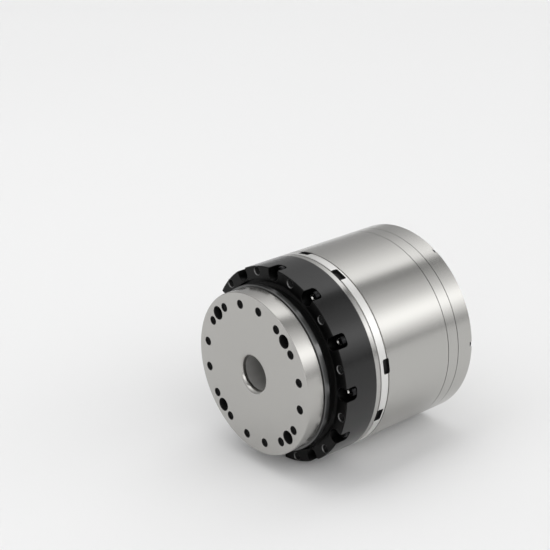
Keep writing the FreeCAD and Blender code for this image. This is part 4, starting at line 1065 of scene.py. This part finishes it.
def slot_cutter(holes, end, outer, angle):
    """The cutter for one slot, with a bevel along its edge."""
    bevel = holes.countersink / 2
    corners = slot_corners(holes, end)
    floor = outer - holes.slot_depth
    loops = [
        [Vector((x, y, floor)) for x, y in corners],
        slot_loop(corners, outer, -bevel),
        slot_loop(slot_corners(holes, end, 3 * bevel), outer, 2 * bevel),
    ]
    cutter = lofted("cutter", loops)
    cutter.data.transform(Matrix.Rotation(math.radians(angle), 4, "Y"))
    return cutter


def slot_shade_liner(holes, end, outer, angle):
    """The dark cup that lines one slot, as painted shade."""
    bevel = holes.countersink / 2
    wall = holes.liner
    floor = outer - holes.slot_depth
    wide = slot_corners(holes, end)
    narrow = slot_corners(holes, end, -wall)
    inner = (slot_loop(narrow, outer, -bevel), [Vector((x, y, floor + wall)) for x, y in narrow])
    around_it = (slot_loop(wide, outer, -bevel), [Vector((x, y, floor)) for x, y in wide])
    liner = cup(inner, around_it)
    liner.data.transform(Matrix.Rotation(math.radians(angle), 4, "Y"))
    return liner


def slot_places(holes, joint):
    """The angle in degrees and the rear end of the two slots of the first pair."""
    return (
        (holes.slot_middle - holes.slot_spread, joint + holes.slot_overrun),
        (holes.slot_middle + holes.slot_spread, joint - holes.slot_inset),
    )


def cut_slots(target, holes, joint, outer, finish):
    """Cut every slot into a turned piece beside the band's joint with the housing."""
    for angle, end in slot_places(holes, joint):
        cutter = slot_cutter(holes, end, outer, angle)
        around(target, cutter, holes.slot_pairs, 0, finish, cut=True)


class ACTUATOR_OT_bands(bpy.types.Operator):
    """Turn the slotted bright band that carries the shaft's front bearing"""

    bl_idname = "actuator.bands"
    bl_label = "Bright bands"

    def execute(self, context):
        sizes = context.scene.actuator_shell
        holes = context.scene.actuator_holes
        outer = radius("motor_housing")
        start = rear("flexible_gear")
        end = front("motor_housing")
        spigot = radius("stator_core")
        inner = spigot - sizes.spigot_wall
        seat = radius("front_bearing_outer")
        bore = radius("input_seal")
        plate = start + sizes.plate
        outline = [
            (front("motor_adapter"), bore),
            (front("motor_adapter"), bore + sizes.spigot_wall),
            (start, bore + sizes.spigot_wall),
            *seam_edge(start, outer, 1, sizes.band_seam, sizes),
            *seam_edge(end, outer, -1, sizes.band_seam, sizes),
            (end, spigot),
            (rear("motor_adapter"), spigot),
            (rear("motor_adapter"), inner),
            (plate, inner),
            (plate, seat + sizes.spigot_wall),
            (rear("front_bearing_outer"), seat + sizes.spigot_wall),
            (rear("front_bearing_outer"), seat),
            (front("front_bearing_outer"), seat),
            (front("front_bearing_outer"), bore),
        ]
        band = turned("slotted_band", outline, sizes.segments)
        cut_slots(band, holes, end, outer, FINISHES["bright_steel"])
        dress(band, "satin_metal", "housing", "motor_adapter", finish="band_metal")
        # Dark liners in the slots paint their shade
        names = ("slot_walls_first", "slot_walls_second")
        for name, (angle, slot_end) in zip(names, slot_places(holes, end)):
            one = slot_shade_liner(holes, slot_end, outer, angle)
            pairs = holes.slot_pairs
            copies(name, one, pairs, 0, "seal_rubber", "housing", finish="painted_hole_shade")
        return {"FINISHED"}


class ACTUATOR_OT_housing(bpy.types.Operator):
    """Turn the motor housing, the rear shield and the rear cap"""

    bl_idname = "actuator.housing"
    bl_label = "Housing"

    def execute(self, context):
        sizes = context.scene.actuator_shell
        holes = context.scene.actuator_holes
        metal = FINISHES["satin_metal"]
        outer = radius("motor_housing")
        bore = radius("stator_core")
        start = front("motor_housing")
        end = rear("motor_housing")
        outline = [
            (start, bore),
            *seam_edge(start, outer, 1, sizes.band_seam, sizes),
            *seam_edge(end, outer, -1, sizes.rear_seam, sizes),
            (end, bore),
        ]
        housing = turned("housing_turned", outline, sizes.segments)
        cut_slots(housing, holes, start, outer, metal)
        dress(housing, "satin_metal", "housing", "motor_housing")
        wall = outer - sizes.shell_wall
        seat = radius("rear_bearing_outer")
        hub = seat + sizes.spigot_wall
        joint = front("rear_cap")
        plate = end + sizes.plate
        outline = [
            (front("rear_shield"), seat),
            (front("rear_shield"), hub),
            (end, hub),
            *seam_edge(end, outer, 1, sizes.rear_seam, sizes),
            *seam_edge(joint, outer, -1, sizes.rear_seam, sizes),
            (joint, wall),
            (plate, wall),
            (plate, hub),
            (rear("rear_bearing_outer"), hub),
            (rear("rear_bearing_outer"), seat),
        ]
        shield = turned("rear_shield_turned", outline, sizes.segments)
        dress(shield, "satin_metal", "housing", "rear_shield")
        self.cap(sizes, holes, metal, outer, wall, joint)
        return {"FINISHED"}

    def cap(self, sizes, holes, metal, outer, wall, joint):
        """The rear cap with its screw pockets, and windows for the sockets."""
        end = rear("rear_cap")
        floor = end - sizes.cap_floor
        bore = radius("tube_bushing")
        seam = sizes.seam
        outline = [
            (joint, wall),
            *seam_edge(joint, outer, 1, sizes.rear_seam, sizes),
            (end - sizes.cap_edge, outer),
            (end, outer - sizes.cap_edge),
            (end, bore + seam),
            (end - seam, bore),
            (floor, bore),
            (floor, wall),
        ]
        cap = turned("rear_cap_turned", outline, sizes.segments)
        bevel = holes.pocket_bevel
        depth = holes.cap_pocket_depth
        steps = [
            (end - depth, holes.cap_pocket),
            (end - bevel, holes.cap_pocket),
            (end + bevel, holes.cap_pocket + 2 * bevel),
        ]
        cutter = hole_cutter(steps, holes.cap_circle, holes)
        around(cap, cutter, holes.cap_screws, 180 / holes.cap_screws, metal, cut=True)
        for window in socket_windows(floor, end):
            around(cap, window, 1, 0, metal, cut=True)
        dress(cap, "satin_metal", "housing", "rear_cap")


def islands(node):
    """The separate solids of a CAD node, each as its list of points, in the mesh's own order."""
    shape = bmesh.new()
    shape.from_mesh(frame["nodes"][node].data)
    bmesh.ops.remove_doubles(shape, verts=shape.verts, dist=WELD)
    seen = set()
    found = []
    for first in shape.verts:
        if first in seen:
            continue
        seen.add(first)
        group = [first]
        for vertex in group:
            for edge in vertex.link_edges:
                near = edge.other_vert(vertex)
                if near not in seen:
                    seen.add(near)
                    group.append(near)
        found.append([vertex.co.copy() for vertex in group])
    shape.free()
    return found


def socket_axes(points):
    """The middle of a socket's points, the way outwards from the axis, and the way across."""
    centre = sum(points, Vector()) / len(points)
    out = Vector((centre.x, 0, centre.z)).normalized()
    return centre, out, Vector((out.z, 0, -out.x))


def rectangle(middle, across, out, wide, deep, place):
    """The corners of a rectangle of a half width and half depth, moved along the axis."""
    moved = Vector((0, place, 0))
    return [middle + across * wide * a + out * deep * b + moved for a, b in SQUARE]


def socket_windows(floor, end):
    """A cutter for the window of each socket: its own outline, a little larger."""
    cutters = []
    for node in ("power_socket", "bus_sockets"):
        for points in islands(node):
            centre, out, across = socket_axes(points)
            wide = max(abs((spot - centre).dot(across)) for spot in points) + WINDOW_GAP
            deep = max(abs((spot - centre).dot(out)) for spot in points) + WINDOW_GAP
            flat = Vector((centre.x, 0, centre.z))
            ends = (floor - MM, end + MM)
            loops = [rectangle(flat, across, out, wide, deep, place) for place in ends]
            cutters.append(lofted("cutter", loops))
    return cutters


def hexagon(circle, place, apothem, angles):
    """Points round a hexagon parallel to the axis, one for each angle."""
    centre = Vector((0, 0, circle))
    loop = []
    for angle in angles:
        lean = angle % (math.pi / 3) - math.pi / 6
        loop.append(centre + point(apothem / math.cos(lean), angle, place))
    return loop


class ACTUATOR_OT_pins(bpy.types.Operator):
    """Stand square contact pins in the rear sockets"""

    bl_idname = "actuator.pins"
    bl_label = "Contact pins"

    def execute(self, context):
        holes = context.scene.actuator_holes
        for node, name, count in (
            ("power_socket", "power_pins", holes.power_pins),
            ("bus_sockets", "bus_pins", holes.bus_pins),
        ):
            shape = bmesh.new()
            for points in islands(node):
                self.row(shape, points, count, holes)
            bmesh.ops.recalc_face_normals(shape, faces=shape.faces)
            pins = new_object(name, shape)
            dress(pins, "brass_pillar", "housing")
        return {"FINISHED"}

    def row(self, shape, points, count, holes):
        """One row of pins on the floor of a socket's cavity, the second of its levels."""
        levels = sorted({round(spot.y, 6) for spot in points})
        floor = [spot for spot in points if abs(spot.y - levels[1]) < LEVEL_GAP]
        centre, out, across = socket_axes(floor)
        wide = max(abs((spot - centre).dot(across)) for spot in floor)
        top = levels[-1] - levels[1] - holes.pin_recess
        half = holes.pin_width / 2
        steps = ((-PIN_ROOT, half), (top - half * 2, half), (top, half * PIN_TIP))
        for index in range(count):
            foot = centre + across * wide * ((2 * index + 1) / count - 1)
            rings = []
            for rise, size in steps:
                spots = rectangle(foot, across, out, size, size, rise)
                rings.append([shape.verts.new(spot) for spot in spots])
            shape.faces.new(rings[0])
            shape.faces.new(rings[-1])
            for first, second in zip(rings, rings[1:]):
                for a in range(4):
                    b = (a + 1) % 4
                    shape.faces.new((first[a], second[a], second[b], first[b]))


def screw(circle, seat, facing, height, holes, shank):
    """A socket-head screw parallel to the axis; facing is -1 or 1, the way that its head looks."""
    head = holes.screw_head
    bevel = head * HEAD_BEVEL
    apothem = holes.screw_flats / 2
    angles = evenly(SCREW_SIDES)
    centre = Vector((0, 0, circle))

    def ring(place, size):
        return circle_at(circle, seat + facing * place, size, angles)

    def flats(place, size):
        return hexagon(circle, seat + facing * place, size, angles)

    def knurled(place):
        loop = []
        for index, angle in enumerate(angles):
            size = head - (index % 2) * head * KNURL
            loop.append(centre + point(size, angle, seat + facing * place))
        return loop

    # From the hexagon's floor, over the head's knurled rim, to the end of the shank
    loops = [
        flats(height - holes.screw_socket, apothem * 0.9),
        flats(height - holes.screw_socket, apothem),
        flats(height - holes.screw_dish, apothem),
        ring(height, apothem + holes.screw_dish),
        ring(height, head - bevel),
        ring(height - bevel, head),
        knurled(height - bevel * 1.2),
        knurled(bevel),
        ring(bevel * 0.8, head),
        ring(0, head - bevel * 0.5),
        ring(0, holes.screw_shank),
        ring(-shank, holes.screw_shank),
    ]
    return lofted("one", loops)


def worn_dish(circle, top, holes):
    """The thin bare cone over the dished mouth of a ring screw's hexagon."""
    angles = evenly(SCREW_SIDES)
    apothem = holes.screw_flats / 2
    dish = holes.screw_dish
    wall = holes.liner
    loops = [
        circle_at(circle, top, apothem + dish, angles),
        circle_at(circle, top, apothem + dish - wall, angles),
        hexagon(circle, top + dish, apothem - wall, angles),
        hexagon(circle, top + dish, apothem, angles),
    ]
    return lofted("one", loops, closed=True)


class ACTUATOR_OT_screws(bpy.types.Operator):
    """Put a socket-head screw into every pocket of the ring and of the cap"""

    bl_idname = "actuator.screws"
    bl_label = "Screws"

    def execute(self, context):
        holes = context.scene.actuator_holes
        count = MOUNTS["arm_bolts"]["dims"]["count"]
        seat = holes.pocket_depth + holes.pocket_seat
        height = holes.screw_head_height
        shank = rear("ring_screws") - seat
        one = screw(holes.pocket_circle, seat, -1, height, holes, shank)
        copies("ring_screw_set", one, count, 0, "screw_steel", "housing", "ring_screws")
        one = worn_dish(holes.pocket_circle, seat - height, holes)
        copies("ring_screw_dishes", one, count, 0, "bright_steel", "housing")
        count = holes.cap_screws
        seat = rear("rear_cap") - holes.cap_pocket_depth
        shank = seat - front("cap_screws")
        one = screw(holes.cap_circle, seat, 1, holes.cap_head_height, holes, shank)
        copies("cap_screw_set", one, count, 180 / count, "screw_steel", "housing", "cap_screws")
        return {"FINISHED"}


def thread(circle, size, start, depth, holes):
    """A closed helical ridge that stands on the wall of a hole."""
    pitch = holes.thread_pitch
    turns = int(depth / pitch)
    centre = Vector((0, 0, circle))
    wall = size * THREAD_ROOT
    loops = []
    for index in range(turns * THREAD_STEPS + 1):
        angle = 2 * math.pi * index / THREAD_STEPS
        done = index / THREAD_STEPS
        left = (turns * THREAD_STEPS - index) / THREAD_STEPS
        place = start + pitch * (done + 1)
        grow = min(1.0, done, left) * (1 - THREAD_END) + THREAD_END
        crest = size - holes.thread_height * grow
        foot = pitch * THREAD_FOOT * grow
        loops.append(
            [
                centre + point(wall, angle, place - foot),
                centre + point(crest, angle, place),
                centre + point(wall, angle, place + foot),
            ]
        )
    return lofted("one", loops)


class ACTUATOR_OT_threads(bpy.types.Operator):
    """Put threads into the holes of the flange and of the mounting ring, dark with painted shade"""

    bl_idname = "actuator.threads"
    bl_label = "Threads"

    def execute(self, context):
        holes = context.scene.actuator_holes
        sets = (
            ("flange_threads", "output_bolts", "output", front("output_flange")),
            ("ring_threads", "arm_bolts", "housing", 0.0),
        )
        for name, mount, body, face in sets:
            circle, size, count = bolt_circle(mount)
            one = thread(circle, size, face, holes.flange_hole_depth - holes.thread_pitch, holes)
            # The threads take the dark finish that paints the shade in the holes
            looks = {"sharp": THREAD_SHARP, "finish": "painted_hole_shade"}
            copies(name, one, count, 180 / count, "screw_steel", body, **looks)
        return {"FINISHED"}


class ACTUATOR_OT_stage(bpy.types.Operator):
    """Lay the pale floor, light the studio and set up the camera"""

    bl_idname = "actuator.stage"
    bl_label = "Stage"

    def execute(self, context):
        self.floor(context.scene)
        self.world(context.scene)
        self.lamp(context.scene)
        self.camera(context.scene)
        context.scene.view_settings.view_transform = "Standard"
        return {"FINISHED"}

    def floor(self, scene):
        """A wide pale floor that the actuator lies on."""
        shape = bmesh.new()
        corners = [(FLOOR_REACH * x, FLOOR_REACH * y, cad_low.z) for x, y in SQUARE]
        shape.faces.new([shape.verts.new(corner) for corner in corners])
        floor = new_object("floor", shape)
        material = bpy.data.materials.new("floor")
        shader = Shader(material)
        x, y, z = shader.where()
        cloud = shader.noise(shader.joined(x, y, z), scale=3.0)
        pale = scene.actuator_colours.floor
        tone = shader.mixed(cloud, shade_of(pale, 0.99), shade_of(pale, 1.01))
        shader.surface(Base_Color=tone, Roughness=0.9)
        floor.data.materials.append(material)

    def world(self, scene):
        """Long soft boxes that run beside the axis, in a room that is plain past their ends."""
        world = bpy.data.worlds.new("studio")
        scene.world = world
        shader = Shader(world)
        x, y, z = shader.parts(shader.node("ShaderNodeTexCoord", {}, {}, "Generated"))
        share = shader.maths("ARCTAN2", x, z) * (0.5 / math.pi) + 0.5
        stops = tuple((0.5 + degrees / 360, level) for degrees, level in SOFT_BOXES)
        light = shader.node("ShaderNodeValToRGB", {"stops": stops}, {"Fac": share})
        ends = shader.node(
            "ShaderNodeMapRange",
            {"interpolation_type": "SMOOTHSTEP"},
            {"Value": y * y, "From Min": ROOM_START, "From Max": ROOM_FULL},
        )
        colour = shader.mixed(ends, light, (ROOM_LEVEL, ROOM_LEVEL, ROOM_LEVEL, 1))
        sky = shader.node("ShaderNodeBackground", {}, {"Color": colour, "Strength": 1.0})
        shader.node("ShaderNodeOutputWorld", {}, {"Surface": sky})

    def lamp(self, scene):
        """A broad soft lamp overhead."""
        lamp = bpy.data.lights.new("overhead", "AREA")
        lamp.shape = "SQUARE"
        lamp.size = LAMP_SIZE
        lamp.energy = LAMP_POWER
        made = bpy.data.objects.new("overhead", lamp)
        made.location = LAMP_PLACE
        made.rotation_euler = (-made.location).to_track_quat("-Z", "Y").to_euler()
        made.visible_glossy = False
        made.visible_camera = False
        scene.collection.objects.link(made)

    def camera(self, scene):
        """The camera of the photograph, off to the flange's right and a little above."""
        azimuth = math.radians(CAMERA_AZIMUTH)
        elevation = math.radians(CAMERA_ELEVATION)
        roll = math.radians(CAMERA_ROLL)
        back = Vector(
            (
                math.sin(azimuth) * math.cos(elevation),
                -math.cos(azimuth) * math.cos(elevation),
                math.sin(elevation),
            )
        )
        right = (-back).cross(Vector((0, 0, 1))).normalized()
        up = back.cross(right)
        across = right * math.cos(roll) + up * math.sin(roll)
        over = up * math.cos(roll) - right * math.sin(roll)
        camera = bpy.data.cameras.new("camera")
        camera.sensor_width = 36.0
        camera.lens = CAMERA_LENS
        camera.clip_start = 0.01
        made = bpy.data.objects.new("camera", camera)
        turn = Matrix((across, over, back)).transposed().to_4x4()
        made.matrix_world = Matrix.Translation(CAMERA_PLACE) @ turn
        scene.collection.objects.link(made)
        scene.camera = made


class ACTUATOR_PT_panel(bpy.types.Panel):
    """Lists the steps that build the actuator's look"""

    bl_idname = "ACTUATOR_PT_panel"
    bl_label = "Actuator"
    bl_space_type = "VIEW_3D"
    bl_region_type = "UI"
    bl_category = "Actuator"

    def draw(self, context):
        for operator in OPERATORS:
            self.layout.operator(operator.bl_idname)


OPERATORS = (
    ACTUATOR_OT_finishes,
    ACTUATOR_OT_output_flange,
    ACTUATOR_OT_gears,
    ACTUATOR_OT_mounting_ring,
    ACTUATOR_OT_bands,
    ACTUATOR_OT_housing,
    ACTUATOR_OT_pins,
    ACTUATOR_OT_screws,
    ACTUATOR_OT_threads,
    ACTUATOR_OT_stage,
)
GROUPS = (ActuatorShellSizes, ActuatorGearSizes, ActuatorHoleSizes, ActuatorColours)


def register():
    for item in (*GROUPS, *OPERATORS, ACTUATOR_PT_panel):
        bpy.utils.register_class(item)
    bpy.types.Scene.actuator_shell = PointerProperty(type=ActuatorShellSizes)
    bpy.types.Scene.actuator_gears = PointerProperty(type=ActuatorGearSizes)
    bpy.types.Scene.actuator_holes = PointerProperty(type=ActuatorHoleSizes)
    bpy.types.Scene.actuator_colours = PointerProperty(type=ActuatorColours)


def unregister():
    del bpy.types.Scene.actuator_colours
    del bpy.types.Scene.actuator_holes
    del bpy.types.Scene.actuator_gears
    del bpy.types.Scene.actuator_shell
    for item in (ACTUATOR_PT_panel, *reversed(OPERATORS), *reversed(GROUPS)):
        bpy.utils.unregister_class(item)


def main():
    """Build everything in order."""
    register()
    bpy.ops.actuator.finishes()
    bpy.ops.actuator.output_flange()
    bpy.ops.actuator.gears()
    bpy.ops.actuator.mounting_ring()
    bpy.ops.actuator.bands()
    bpy.ops.actuator.housing()
    bpy.ops.actuator.pins()
    bpy.ops.actuator.screws()
    bpy.ops.actuator.threads()
    bpy.ops.actuator.stage()


if __name__ == "__main__":
    main()
